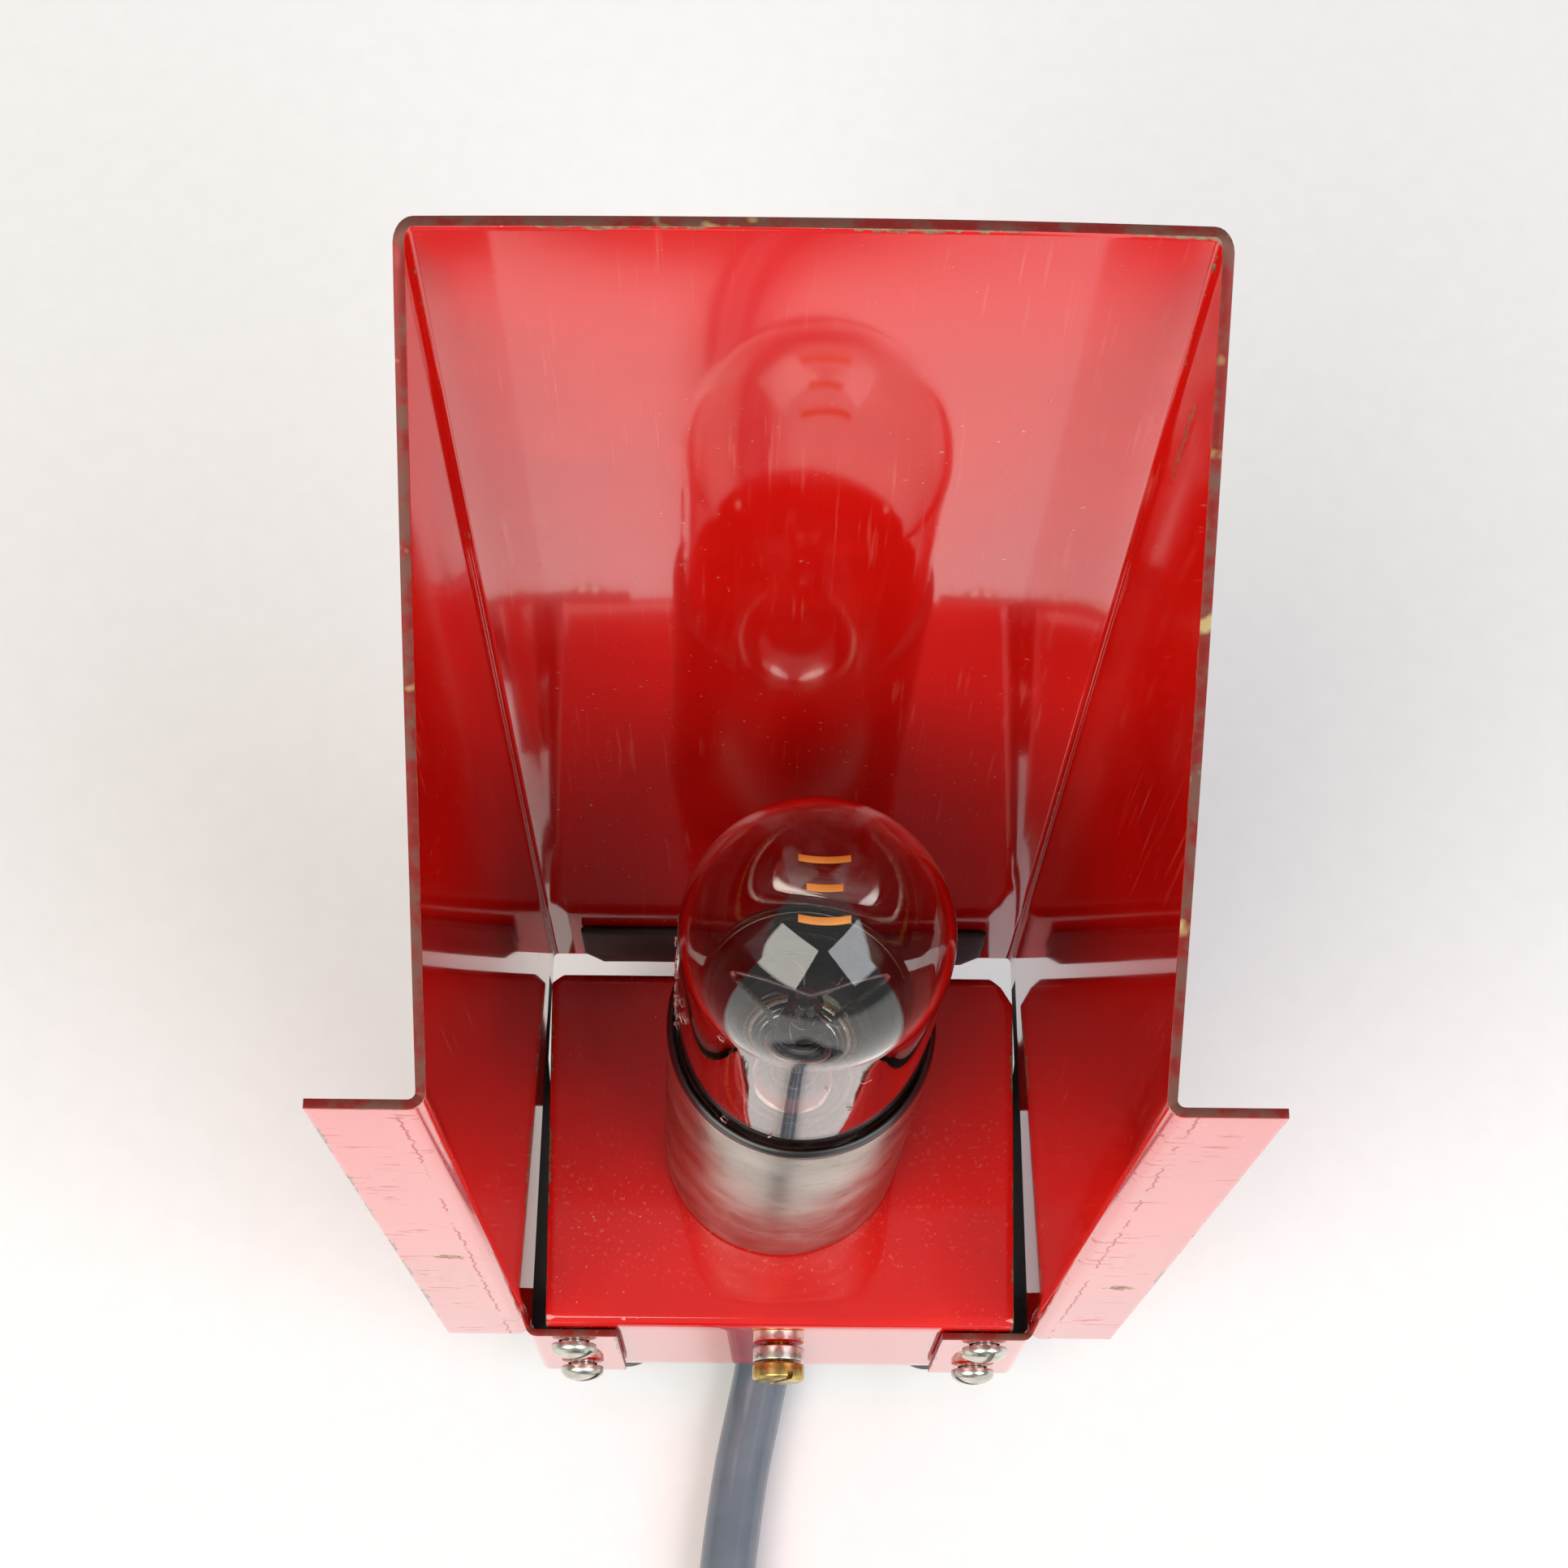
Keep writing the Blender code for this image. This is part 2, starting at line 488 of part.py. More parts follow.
def build_relief():
    run = BOOT_OUT - BOOT_IN
    length = run.length
    profile = [(0, length), (5.2 * MM, length), (5.6 * MM, length - 1 * MM), (5.6 * MM, length - 6 * MM),
               (4.9 * MM, length - 7 * MM), (4.1 * MM, 0.4 * MM), (3.9 * MM, 0), (0, 0)]
    boot = turned("strain_relief", profile, GREY_PVC, steps=24, location=BOOT_OUT)
    boot.rotation_euler = (-run).to_track_quat("Z", "Y").to_euler()

    seat = BOOT_OUT - run * 0.66
    clamp = rod("cord_clamp", 6.7 * MM, 7.0 * MM, seat, "Z", 24, STEEL)
    clamp.rotation_euler = boot.rotation_euler
    inner = TRAY_FRONT + SHEET + GAP
    high = 30.0 * MM
    shelf = seat.z + 5.9 * MM
    arm = folded([(inner + ARM_SHEET / 2, high), (inner + ARM_SHEET / 2, shelf), (seat.y, shelf)],
                 ARM_SHEET, 1.2 * MM)
    combine(clamp, upright(outline("clamp_arm", arm, 4.0 * MM, None, cutters)), "UNION")
    bore = rod("bore_clamp", 5.75 * MM, 60 * MM, seat, "Z", 24, None, cutters)
    bore.rotation_euler = boot.rotation_euler
    combine(clamp, bore)
    combine(clamp, rod("bore_arm", HOLE, 4 * MM, (0, inner, MIDDLE_SCREW_Z), "Y", 16, None, cutters))

    start = BOOT_IN + Vector((0, 0.35 * MM, 0.12 * MM))
    foot = Vector((0, LAMP_Y, TRAY_TOP - 9 * MM))
    for name, mat, shift, x in (("core_live", BROWN_PVC, -2.2 * MM, -1.75 * MM),
                                ("core_neutral", BLUE_PVC, 2.2 * MM, 1.75 * MM)):
        begin = start + Vector((shift, 0.35 * MM, 0))
        route = [begin, begin + Vector((0, 3.2 * MM, 3.4 * MM)), Vector((x * 1.3, 13.5 * MM, 25 * MM)),
                 Vector((x * 1.1, 6.0 * MM, 27.4 * MM)), foot + Vector((x - 0.2 * MM, -0.3 * MM, -0.5 * MM)),
                 foot + Vector((x, 0, 7 * MM)), foot + Vector((x + 0.45 * MM, 0, 18 * MM))]
        tube(name, smooth_path(route, 2.4 * MM), 1.0 * MM, mat)


def cord_route():
    """Middle line of the free cord from the strain relief to the coil, on the floor."""
    begin = BOOT_OUT + (BOOT_OUT - BOOT_IN).normalized() * 2.5 * GAP
    return [begin, Vector((-1.75, -20.4, 3.62)) * MM, Vector((-3.0, -27.0, 3.55)) * MM,
            Vector((-4.7, -36.0, 3.5)) * MM, Vector((-6.3, -50.0, 3.5)) * MM, Vector((-7.2, -70.0, 3.5)) * MM,
            Vector((-6.3, -86.0, 3.5)) * MM, Vector((0.5, -99.0, 3.5)) * MM, beside_coil(58), beside_coil(40),
            beside_coil(22), beside_coil(0), beside_coil(-24)]


def beside_coil(degrees, height=CORD_R):
    """Middle of the cord where it lies against the outside of the coil, at an angle from +X."""
    reach, angle = COIL_R + COIL_W + CORD_R + 0.6 * MM, math.radians(degrees)
    return Vector((COIL.x + reach * math.cos(angle), COIL.y + reach * math.sin(angle), height))


def tail_route():
    """Middle line of the short end that leaves the coil, crosses the cord and curls up to the plug."""
    ahead = plug_ahead()
    curl = [Vector(p) * MM for p in ((14.0, -107.3, 12.6), (28.1, -113.4, 16.6), (35.4, -125.5, 21.4))]
    return [beside_coil(95, 11 * MM), beside_coil(78, 11.2 * MM)] + curl + [
        PLUG - ahead * 8 * MM, PLUG - ahead * 3 * MM, PLUG - ahead * 2 * GAP]


def plug_ahead():
    flat = math.cos(PLUG_TILT)
    return Vector((flat * math.cos(PLUG_TURN), flat * math.sin(PLUG_TURN), math.sin(PLUG_TILT)))


def build_cord():
    tube("cord", smooth_path(cord_route(), 3 * CORD_R), CORD_R, GREY_PVC)
    ring = [(COIL_R + x, COIL_H / 2 + z) for x, z in oval(COIL_W, COIL_H / 2, 14)[::-1]]
    turned("cord_coil", ring, GREY_PVC, True, 32, location=COIL)

    # a flat band looped round the windings on the side away from the lamp
    slack, thick = 0.5 * MM, 1.0 * MM
    band = upright(outline("coil_tie", oval(COIL_W + slack + thick, COIL_H / 2 + slack + thick), TIE_HALF))
    hole = upright(outline("tie_hole", oval(COIL_W + slack, COIL_H / 2 + slack), 3 * TIE_HALF, None, cutters))
    band.location = hole.location = COIL + Vector((0, -COIL_R, COIL_H / 2))
    band.data.materials.append(RUBBER)
    combine(band, hole)


def oval(half_wide, half_tall, sides=24):
    turns = [2 * math.pi * k / sides for k in range(sides)]
    return [(half_wide * math.cos(t), half_tall * math.sin(t)) for t in turns]


def build_plug():
    tube("cord_tail", smooth_path(tail_route(), 3 * CORD_R), CORD_R, GREY_PVC)
    axis = empty("plug_axis", PLUG, (0, math.pi / 2 - PLUG_TILT, PLUG_TURN))
    boot = 26 * MM
    turned("plug_relief", [(0, boot), (6.2 * MM, boot), (6.2 * MM, boot - 2 * MM), (4.3 * MM, 0.5 * MM),
                           (4.0 * MM, 0), (0, 0)], GREY_PVC, steps=24, parent=axis)
    low = boot + GAP
    face = low + 38 * MM
    turned("plug_body", [(0, face), (17.6 * MM, face), (PLUG_R, face - 1 * MM), (PLUG_R, low + 24 * MM),
                         (15.4 * MM, low + 19 * MM), (13.2 * MM, low + 12 * MM), (11.6 * MM, low + 4 * MM),
                         (9.6 * MM, low), (0, low)], GREY_PVC, steps=36, parent=axis)
    foot, pin_r, pin_x = face + GAP, 2.4 * MM, 9.5 * MM
    for side, tag in ((-1, "left"), (1, "right")):
        pin = [(0, foot + 19 * MM), (1.5 * MM, foot + 18.8 * MM), (pin_r, foot + 17.6 * MM), (pin_r, foot),
               (0, foot)]
        turned(f"plug_pin_{tag}", pin, STEEL, steps=20, location=(0, side * pin_x, 0), parent=axis)


build_hood()
build_seal()
build_tray()
build_feet()
build_fixings()
holder_axis = empty("holder_axis", (0, LAMP_Y, TRAY_TOP), (0, LEAN, 0))
build_holder(holder_axis)
build_contact(holder_axis)
build_lamp(holder_axis)
build_relief()
build_cord()
build_plug()
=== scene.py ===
import json
import math
import random

import bmesh
import bpy
from mathutils import Matrix, Vector, noise


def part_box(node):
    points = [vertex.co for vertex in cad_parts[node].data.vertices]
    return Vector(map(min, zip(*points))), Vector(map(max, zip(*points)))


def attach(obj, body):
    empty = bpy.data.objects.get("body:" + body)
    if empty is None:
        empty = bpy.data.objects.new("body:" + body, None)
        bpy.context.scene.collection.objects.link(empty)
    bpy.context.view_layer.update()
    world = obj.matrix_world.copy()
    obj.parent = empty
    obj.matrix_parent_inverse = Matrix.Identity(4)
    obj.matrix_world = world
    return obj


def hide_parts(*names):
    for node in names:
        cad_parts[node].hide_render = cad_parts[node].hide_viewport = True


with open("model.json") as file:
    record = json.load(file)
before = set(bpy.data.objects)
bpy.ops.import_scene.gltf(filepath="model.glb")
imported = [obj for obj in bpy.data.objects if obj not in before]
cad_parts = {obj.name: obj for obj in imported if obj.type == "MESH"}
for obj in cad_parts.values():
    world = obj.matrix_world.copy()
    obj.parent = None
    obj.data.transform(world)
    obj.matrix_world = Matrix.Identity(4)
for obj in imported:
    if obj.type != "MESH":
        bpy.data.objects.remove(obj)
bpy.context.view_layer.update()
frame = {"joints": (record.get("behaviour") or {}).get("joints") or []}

mm = 0.001


def addObject(name, data):
    item = bpy.data.objects.new(name, data)
    bpy.context.scene.collection.objects.link(item)
    return item


def srgb(code):
    # sRGB hex to linear RGBA
    parts = [int(code[i:i + 2], 16) / 255 for i in (1, 3, 5)]
    return tuple(c / 12.92 if c <= 0.04045 else ((c + 0.055) / 1.055) ** 2.4 for c in parts) + (1.0,)


def addNode(tree, kind, links=None, **settings):
    node = tree.nodes.new(kind)
    for key, value in settings.items():
        setattr(node, key, value)
    for key, value in (links or {}).items():
        if isinstance(value, bpy.types.NodeSocket):
            tree.links.new(value, node.inputs[key])
        else:
            node.inputs[key].default_value = value
    return node


def newMaterial(name, **sockets):
    mat = bpy.data.materials.new(name)
    mat.use_nodes = True
    shader = mat.node_tree.nodes["Principled BSDF"]
    for key, value in sockets.items():
        shader.inputs[key.replace("_", " ")].default_value = value
    return mat, mat.node_tree, shader


def feed(shader, **sockets):
    for key, value in sockets.items():
        shader.id_data.links.new(value, shader.inputs[key.replace("_", " ")])


def mapRange(tree, value, low, high, toLow=0.0, toHigh=1.0):
    links = {"Value": value, "From Min": low, "From Max": high, "To Min": toLow, "To Max": toHigh}
    return addNode(tree, "ShaderNodeMapRange", links, clamp=True).outputs["Result"]


def mixColour(tree, factor, a, b):
    node = addNode(tree, "ShaderNodeMix", data_type="RGBA")
    for socket, value in zip((node.inputs[0], node.inputs[6], node.inputs[7]), (factor, a, b)):
        if isinstance(value, bpy.types.NodeSocket):
            tree.links.new(value, socket)
        else:
            socket.default_value = value
    return node.outputs[2]


def maths(tree, operation, a, b=0.0):
    return addNode(tree, "ShaderNodeMath", {0: a, 1: b}, operation=operation).outputs[0]


def place(tree, stretch=(1, 1, 1), shift=(0, 0, 0)):
    # object coordinates in millimetres, stretched along each axis
    coords = addNode(tree, "ShaderNodeTexCoord")
    scale = [1000 * s for s in stretch]
    links = {"Vector": coords.outputs["Object"], "Scale": scale, "Location": shift}
    return addNode(tree, "ShaderNodeMapping", links).outputs["Vector"]


def grain(tree, wavelength, detail=2.0, stretch=(1, 1, 1), shift=(0, 0, 0), roughness=0.5):
    # noise whose blotches are about `wavelength` millimetres across
    links = {"Vector": place(tree, stretch, shift), "Scale": 1 / wavelength, "Detail": detail,
             "Roughness": roughness}
    return addNode(tree, "ShaderNodeTexNoise", links).outputs["Fac"]


def bump(tree, shader, height, depth, before=None):
    # depth in millimetres
    links = {"Height": height, "Distance": depth * mm, "Strength": 1.0}
    if before:
        links["Normal"] = before
    normal = addNode(tree, "ShaderNodeBump", links).outputs["Normal"]
    feed(shader, Normal=normal)
    return normal


def wornSpot(tree, centre, radii):
    # 1 inside a ragged ellipsoid given in millimetres
    away = addNode(tree, "ShaderNodeVectorMath", {0: place(tree), 1: centre}, operation="SUBTRACT")
    away = addNode(tree, "ShaderNodeVectorMath", {0: away.outputs[0], 1: radii}, operation="DIVIDE")
    away = addNode(tree, "ShaderNodeVectorMath", {0: away.outputs[0]}, operation="LENGTH").outputs["Value"]
    ragged = mapRange(tree, grain(tree, 0.9, 4, shift=centre), 0.3, 0.7, -0.55, 0.55)
    return mapRange(tree, maths(tree, "ADD", away, ragged), 0.62, 0.7, 1, 0)


enamelLook = {"red": "#dc150e", "deep": "#cc120d", "bright": "#e41e10", "primer": "#8a4a2c",
              "oldSteel": "#8d7b57", "scuff": "#e8776a", "crackOut": 1.9, "flangeStart": 29.5,
              "knock": (27.6, 21.0, 179.5), "knockSize": (2.0, 0.9, 7.5), "insideX": 29.3,
              "insideY": 21.2, "insideZ": 39.35}


def makeEnamel():
    # stoved gloss enamel on steel: a deep wet red with slight orange peel, hairline rubs and chipped edges
    mat, tree, shader = newMaterial("stovedGlossEnamel", Roughness=0.07, IOR=1.52, Coat_Roughness=0.04,
                                    Coat_IOR=1.5)
    cloud = mapRange(tree, grain(tree, 34, 3), 0.35, 0.65)
    colour = mixColour(tree, cloud, srgb(enamelLook["deep"]), srgb(enamelLook["red"]))
    colour = mixColour(tree, mapRange(tree, grain(tree, 9, 4), 0.55, 0.8, 0, 0.5), colour,
                       srgb(enamelLook["bright"]))
    # hairline rubs run up and down the sheet
    rubs = grain(tree, 0.55, 2, (1, 1, 0.035), (3, 1, 7))
    patches = mapRange(tree, grain(tree, 16, 3, shift=(40, 9, 3)), 0.46, 0.72)
    rub = maths(tree, "MULTIPLY", mapRange(tree, rubs, 0.6, 0.74, 0, 0.65), patches)
    colour = mixColour(tree, rub, colour, srgb(enamelLook["scuff"]))
    # specks of dust and pinholes, about a fifth of a millimetre
    speck = mapRange(tree, grain(tree, 0.6, 1, shift=(5, 5, 5)), 0.75, 0.79, 0, 0.8)
    speck = maths(tree, "MULTIPLY", speck, mapRange(tree, grain(tree, 22, 2, shift=(7, 2, 1)), 0.45, 0.6))
    colour = mixColour(tree, speck, colour, srgb("#e9a79c"))
    # chips along cut edges and folds, from how near the edge is
    near = addNode(tree, "ShaderNodeAttribute", attribute_name="edgeNear").outputs["Fac"]
    ragged = grain(tree, 0.9, 4, (1, 1, 0.6), (11, 4, 2), 0.65)
    clump = mapRange(tree, grain(tree, 12, 2, shift=(1, 20, 6)), 0.42, 0.62, -0.22, 0.1)
    reach = maths(tree, "ADD", maths(tree, "ADD", near, ragged), clump)
    chip = mapRange(tree, reach, 1.36, 1.4)
    chip = maths(tree, "MAXIMUM", chip, wornSpot(tree, enamelLook["knock"], enamelLook["knockSize"]))
    rim = mapRange(tree, reach, 1.24, 1.36)
    colour = mixColour(tree, maths(tree, "MULTIPLY", rim, 0.55), colour, srgb(enamelLook["deep"]))
    metal = mixColour(tree, mapRange(tree, grain(tree, 0.7, 3, shift=(9, 9, 1)), 0.4, 0.6),
                      srgb(enamelLook["primer"]), srgb(enamelLook["oldSteel"]))
    colour = mixColour(tree, chip, colour, metal)
    # inside the chassis, below the tray, the enamel is painted a near-black red that stands in for the shade
    # there, and made matt with little gloss
    spot = addNode(tree, "ShaderNodeSeparateXYZ", {"Vector": place(tree)})
    inside = 1.0
    for value, limit in ((maths(tree, "ABSOLUTE", spot.outputs["X"]), "insideX"),
                         (spot.outputs["Z"], "insideZ"),
                         (maths(tree, "ABSOLUTE", maths(tree, "ADD", spot.outputs["Y"], 0.2)), "insideY")):
        inside = maths(tree, "MULTIPLY", inside, maths(tree, "LESS_THAN", value, enamelLook[limit]))
    # painted shade: dark red tones for the shaded inside of the walls below the tray
    paintedShade = mixColour(tree, mapRange(tree, grain(tree, 6, 3), 0.4, 0.6), srgb("#2b0706"), srgb("#3a0b08"))
    colour = mixColour(tree, inside, colour, paintedShade)
    feed(shader, Base_Color=colour, Coat_Weight=mapRange(tree, inside, 0, 1, 0.8, 0),
         Specular_IOR_Level=mapRange(tree, inside, 0, 1, 0.5, 0.08))
    rough = maths(tree, "ADD", maths(tree, "ADD", maths(tree, "MULTIPLY", rub, 0.25),
                                     maths(tree, "MULTIPLY", chip, 0.4)),
                  mapRange(tree, grain(tree, 26, 4, shift=(2, 8, 4)), 0.35, 0.75, 0.045, 0.11))
    feed(shader, Roughness=maths(tree, "MAXIMUM", rough, maths(tree, "MULTIPLY", inside, 0.6)))
    peel = bump(tree, shader, grain(tree, 3.2, 1), 0.004)
    bump(tree, shader, maths(tree, "SUBTRACT", 1.0, maths(tree, "MAXIMUM", chip, speck)), 0.05, peel)
    return mat


def makeCrazedEnamel():
    # the same enamel on the front flanges, where handling left scrapes and a crack beside the fold
    mat = makeEnamel()
    mat.name = "scrapedGlossEnamel"
    tree = mat.node_tree
    shader = tree.nodes["Principled BSDF"]
    under, rough, coat, old = (shader.inputs[key].links[0].from_socket
                               for key in ("Base Color", "Roughness", "Coat Weight", "Normal"))
    coords = addNode(tree, "ShaderNodeSeparateXYZ", {"Vector": place(tree)})
    across = maths(tree, "ABSOLUTE", coords.outputs["X"])
    wander = mapRange(tree, grain(tree, 1.6, 4, (0, 1, 1), (2, 2, 9)), 0.3, 0.7, -0.28, 0.28)
    middle = maths(tree, "ADD", wander, enamelLook["flangeStart"] + enamelLook["crackOut"])
    away = maths(tree, "ABSOLUTE", maths(tree, "SUBTRACT", across, middle))
    crack = mapRange(tree, away, 0.05, 0.16, 1, 0)
    crack = maths(tree, "MULTIPLY", crack, mapRange(tree, grain(tree, 6, 2, shift=(1, 6, 3)), 0.4, 0.5))
    # scrapes across the flange
    scrape = grain(tree, 0.8, 3, (0.16, 1, 1), (6, 1, 13), 0.6)
    clump = mapRange(tree, grain(tree, 9, 2, shift=(8, 3, 21)), 0.5, 0.64)
    scrape = maths(tree, "MULTIPLY", mapRange(tree, scrape, 0.6, 0.66), clump)
    worn = maths(tree, "MAXIMUM", maths(tree, "MULTIPLY", crack, 0.8), maths(tree, "MULTIPLY", scrape, 0.75))
    colour = mixColour(tree, worn, under, srgb("#b8130f"))
    gouge = maths(tree, "MAXIMUM", wornSpot(tree, (-33.6, -22.4, 88.0), (1.9, 2, 1.2)),
                  wornSpot(tree, (35.2, -22.4, 74.0), (1.9, 2, 1.6)))
    bare = mixColour(tree, mapRange(tree, grain(tree, 0.5, 2), 0.45, 0.55), srgb("#6a2318"), srgb("#b98a4e"))
    marks = maths(tree, "MAXIMUM", worn, gouge)
    whole = maths(tree, "SUBTRACT", 1.0, marks)
    feed(shader, Base_Color=mixColour(tree, gouge, colour, bare),
         Roughness=maths(tree, "ADD", rough, maths(tree, "MULTIPLY", marks, 0.3)),
         Coat_Weight=maths(tree, "MULTIPLY", coat, whole))
    bump(tree, shader, whole, 0.06, old)
    return mat


def makeCutEdge():
    # sheared steel edge under thin paint: brown where it rusted, brassy where the paint has gone
    mat, tree, shader = newMaterial("shearedSteelEdge", Roughness=0.45, Metallic=0.35)
    blotch = grain(tree, 2.6, 4, shift=(4, 4, 4), roughness=0.65)
    colour = mixColour(tree, mapRange(tree, blotch, 0.42, 0.58), srgb("#84201a"), srgb("#6e4438"))
    bare = mapRange(tree, grain(tree, 4.5, 3, shift=(30, 14, 8)), 0.66, 0.72)
    colour = mixColour(tree, bare, colour, srgb("#b7a06a"))
    feed(shader, Base_Color=colour, Roughness=mapRange(tree, blotch, 0.3, 0.7, 0.3, 0.6))
    bump(tree, shader, blotch, 0.02)
    return mat


def makeSatinSteel():
    # deep-drawn steel, spun satin with fine rings and a dull handled bloom
    mat, tree, shader = newMaterial("spunSatinSteel", Metallic=1.0, Roughness=0.34)
    rings = grain(tree, 0.35, 2, (0.04, 0.04, 1))
    bloom = grain(tree, 7, 4, shift=(3, 3, 3))
    colour = mixColour(tree, mapRange(tree, bloom, 0.35, 0.68), srgb("#a39c92"), srgb("#c2bcb2"))
    stain = mapRange(tree, grain(tree, 2.4, 4, shift=(9, 1, 2)), 0.6, 0.72, 0, 0.5)
    colour = mixColour(tree, stain, colour, srgb("#857c70"))
    feed(shader, Base_Color=colour, Roughness=maths(tree, "ADD", mapRange(tree, bloom, 0.3, 0.7, 0.27, 0.4),
                                                    mapRange(tree, rings, 0.3, 0.7, -0.04, 0.05)))
    bump(tree, shader, rings, 0.003)
    return mat


def makePlating(name, light, dark, roughness, spots=0.6):
    # bright plated steel or turned brass: fine turning rings, and dull spots where it tarnished
    mat, tree, shader = newMaterial(name, Metallic=1.0, Roughness=roughness)
    tone = grain(tree, 1.8, 3)
    colour = mixColour(tree, mapRange(tree, tone, 0.4, 0.7, 0, spots), srgb(light), srgb(dark))
    paintedShade = grain(tree, 1.1, 3, shift=(5, 0, 5))
    feed(shader, Base_Color=colour,
         Roughness=mapRange(tree, paintedShade, 0.3, 0.7, roughness - 0.07, roughness + 0.14))
    bump(tree, shader, grain(tree, 0.4, 2), 0.006)
    return mat


def makeMoulded(name, light, dark, roughness, wavelength=0.5, depth=0.01, ior=1.5):
    # moulded or fired parts: two close tones, a fine skin texture and fingerprints in the gloss
    mat, tree, shader = newMaterial(name, Roughness=roughness, IOR=ior)
    colour = mixColour(tree, mapRange(tree, grain(tree, 5, 3), 0.35, 0.65), srgb(light), srgb(dark))
    smear = mapRange(tree, grain(tree, 8, 4, shift=(2, 6, 1)), 0.35, 0.7, roughness * 0.9, roughness * 1.2)
    feed(shader, Base_Color=colour, Roughness=smear)
    bump(tree, shader, grain(tree, wavelength, 2), depth)
    return mat


def makeGlass():
    # blown soda-lime glass: clear, with faint draw lines that bend its highlights
    mat, tree, shader = newMaterial("blownClearGlass", Transmission_Weight=1.0, IOR=1.51, Roughness=0.0,
                                    Base_Color=srgb("#f1efec"))
    bump(tree, shader, grain(tree, 5.5, 1, (1, 1, 0.25)), 0.006)
    return mat


def makeLint():
    # cotton dust that clings to the glass: pale matt pink fibres, lit red by the shell
    mat, tree, shader = newMaterial("clingingLint", Roughness=0.9)
    feed(shader, Base_Color=mixColour(tree, mapRange(tree, grain(tree, 0.8, 2), 0.4, 0.6),
                                      srgb("#d8b0a8"), srgb("#8d5a54")))
    return mat


enamel = makeEnamel()
scraped = makeCrazedEnamel()
cutEdge = makeCutEdge()
satinSteel = makeSatinSteel()
# zinc is cool and bright, brass a deep yellow, nickel soft and warm, drawn tungsten a dull dark grey
zinc = makePlating("brightZincPlate", "#d9d8cf", "#9b9a80", 0.24)
brass = makePlating("turnedBrass", "#d8be72", "#8c7a34", 0.25)
nickel = makePlating("rolledNickelPlate", "#c9c6bd", "#8f8b80", 0.26)
tungsten = makePlating("drawnTungstenWire", "#8f8f92", "#4e4e52", 0.35)
# phenolic is near black with a clean gloss, rubber a soft black that hardly reflects, porcelain a cream glaze
phenolic = makeMoulded("mouldedBlackPhenolic", "#0b0d0d", "#151717", 0.28, 0.8, 0.012, 1.6)
rubber = makeMoulded("mouldedBlackRubber", "#0e0f10", "#1a1b1c", 0.55, 0.5, 0.03, 1.5)
porcelain = makeMoulded("glazedPorcelain", "#e6e0d2", "#d3caa9", 0.18, 1.5, 0.01, 1.54)
# extruded PVC carries one long smooth highlight, and the moulded plug is darker and textured
cordPvc = makeMoulded("extrudedGreyPvc", "#6e7983", "#66717c", 0.17, 2.4, 0.006, 1.53)
plugPvc = makeMoulded("mouldedGreyPvc", "#5b646d", "#4a535c", 0.42, 0.35, 0.02, 1.53)
# the cores are waxy and saturated, and the fired ink is opaque and slightly chalky
brownCore = makeMoulded("brownCorePvc", "#4c2412", "#381708", 0.35)
blueCore = makeMoulded("blueCorePvc", "#1d4d92", "#123a76", 0.35)
ink = makeMoulded("firedOrangeInk", "#cf8f3c", "#b9762a", 0.5, 0.3, 0.01)
glass = makeGlass()
lint = makeLint()
print("materials made")


def rounded(corners, radius=0.2, steps=4, closed=True):
    # corners are (x, y) or (x, y, radius) in millimetres; each corner turns into an arc
    points = [Vector(c[:2]) for c in corners]
    out = []
    for i, p in enumerate(points):
        r = corners[i][2] if len(corners[i]) > 2 else radius
        a, b = points[i - 1] - p, points[(i + 1) % len(points)] - p
        if r == 0 or (not closed and i in (0, len(points) - 1)) or a.angle(b) > math.pi - 0.06:
            out.append(p)
            continue
        half = a.angle(b) / 2
        reach = min(r / math.tan(half), 0.48 * a.length, 0.48 * b.length)
        centre = p + (a.normalized() + b.normalized()).normalized() * reach / math.cos(half)
        first, last = p + a.normalized() * reach - centre, p + b.normalized() * reach - centre
        start = math.atan2(first.y, first.x)
        sweep = (math.atan2(last.y, last.x) - start + math.pi) % (2 * math.pi) - math.pi
        for k in range(steps + 1):
            angle = start + sweep * k / steps
            out.append(centre + Vector((math.cos(angle), math.sin(angle))) * first.length)
    return out


def circle(radius, count):
    # points of a circle, in the order they are turned
    angles = [2 * math.pi * k / count for k in range(count)]
    return [(radius * math.cos(a), radius * math.sin(a)) for a in angles]


def skin(bm, rows, wrap=False, index=0):
    # faces between neighbouring rows; wrap closes each row on itself
    for a, b in zip(rows, rows[1:]):
        for k in range(len(a) if wrap else len(a) - 1):
            n = (k + 1) % len(a)
            bm.faces.new((a[k], a[n], b[n], b[k])).material_index = index


def finishPiece(name, mesh, mats, body="head", replaces=(), sharp=38):
    for mat in mats:
        mesh.materials.append(mat)
    mesh.shade_smooth()
    mesh.set_sharp_from_angle(angle=math.radians(sharp))
    piece = addObject(name, mesh)
    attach(piece, body)
    if replaces:
        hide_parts(*replaces)
    return piece


def toMesh(name, bm, matrix=None):
    bmesh.ops.recalc_face_normals(bm, faces=bm.faces)
    mesh = bpy.data.meshes.new(name)
    bm.to_mesh(mesh)
    bm.free()
    if matrix:
        mesh.transform(matrix)
    return mesh


def revolve(bm, profile, steps=64, closed=False):
    # turns a profile of (radius, height) in millimetres
    rings = []
    for radius, high in profile:
        if radius < 1e-6:
            rings.append([bm.verts.new((0, 0, high * mm))] * steps)
        else:
            rings.append([bm.verts.new((x * mm, y * mm, high * mm)) for x, y in circle(radius, steps)])
    pairs = list(zip(rings, rings[1:])) + ([(rings[-1], rings[0])] if closed else [])
    for low, high in pairs:
        for k in range(steps):
            n = (k + 1) % steps
            corners = []
            for v in (low[k], low[n], high[n], high[k]):
                if v not in corners:
                    corners.append(v)
            if len(corners) > 2:
                bm.faces.new(corners)


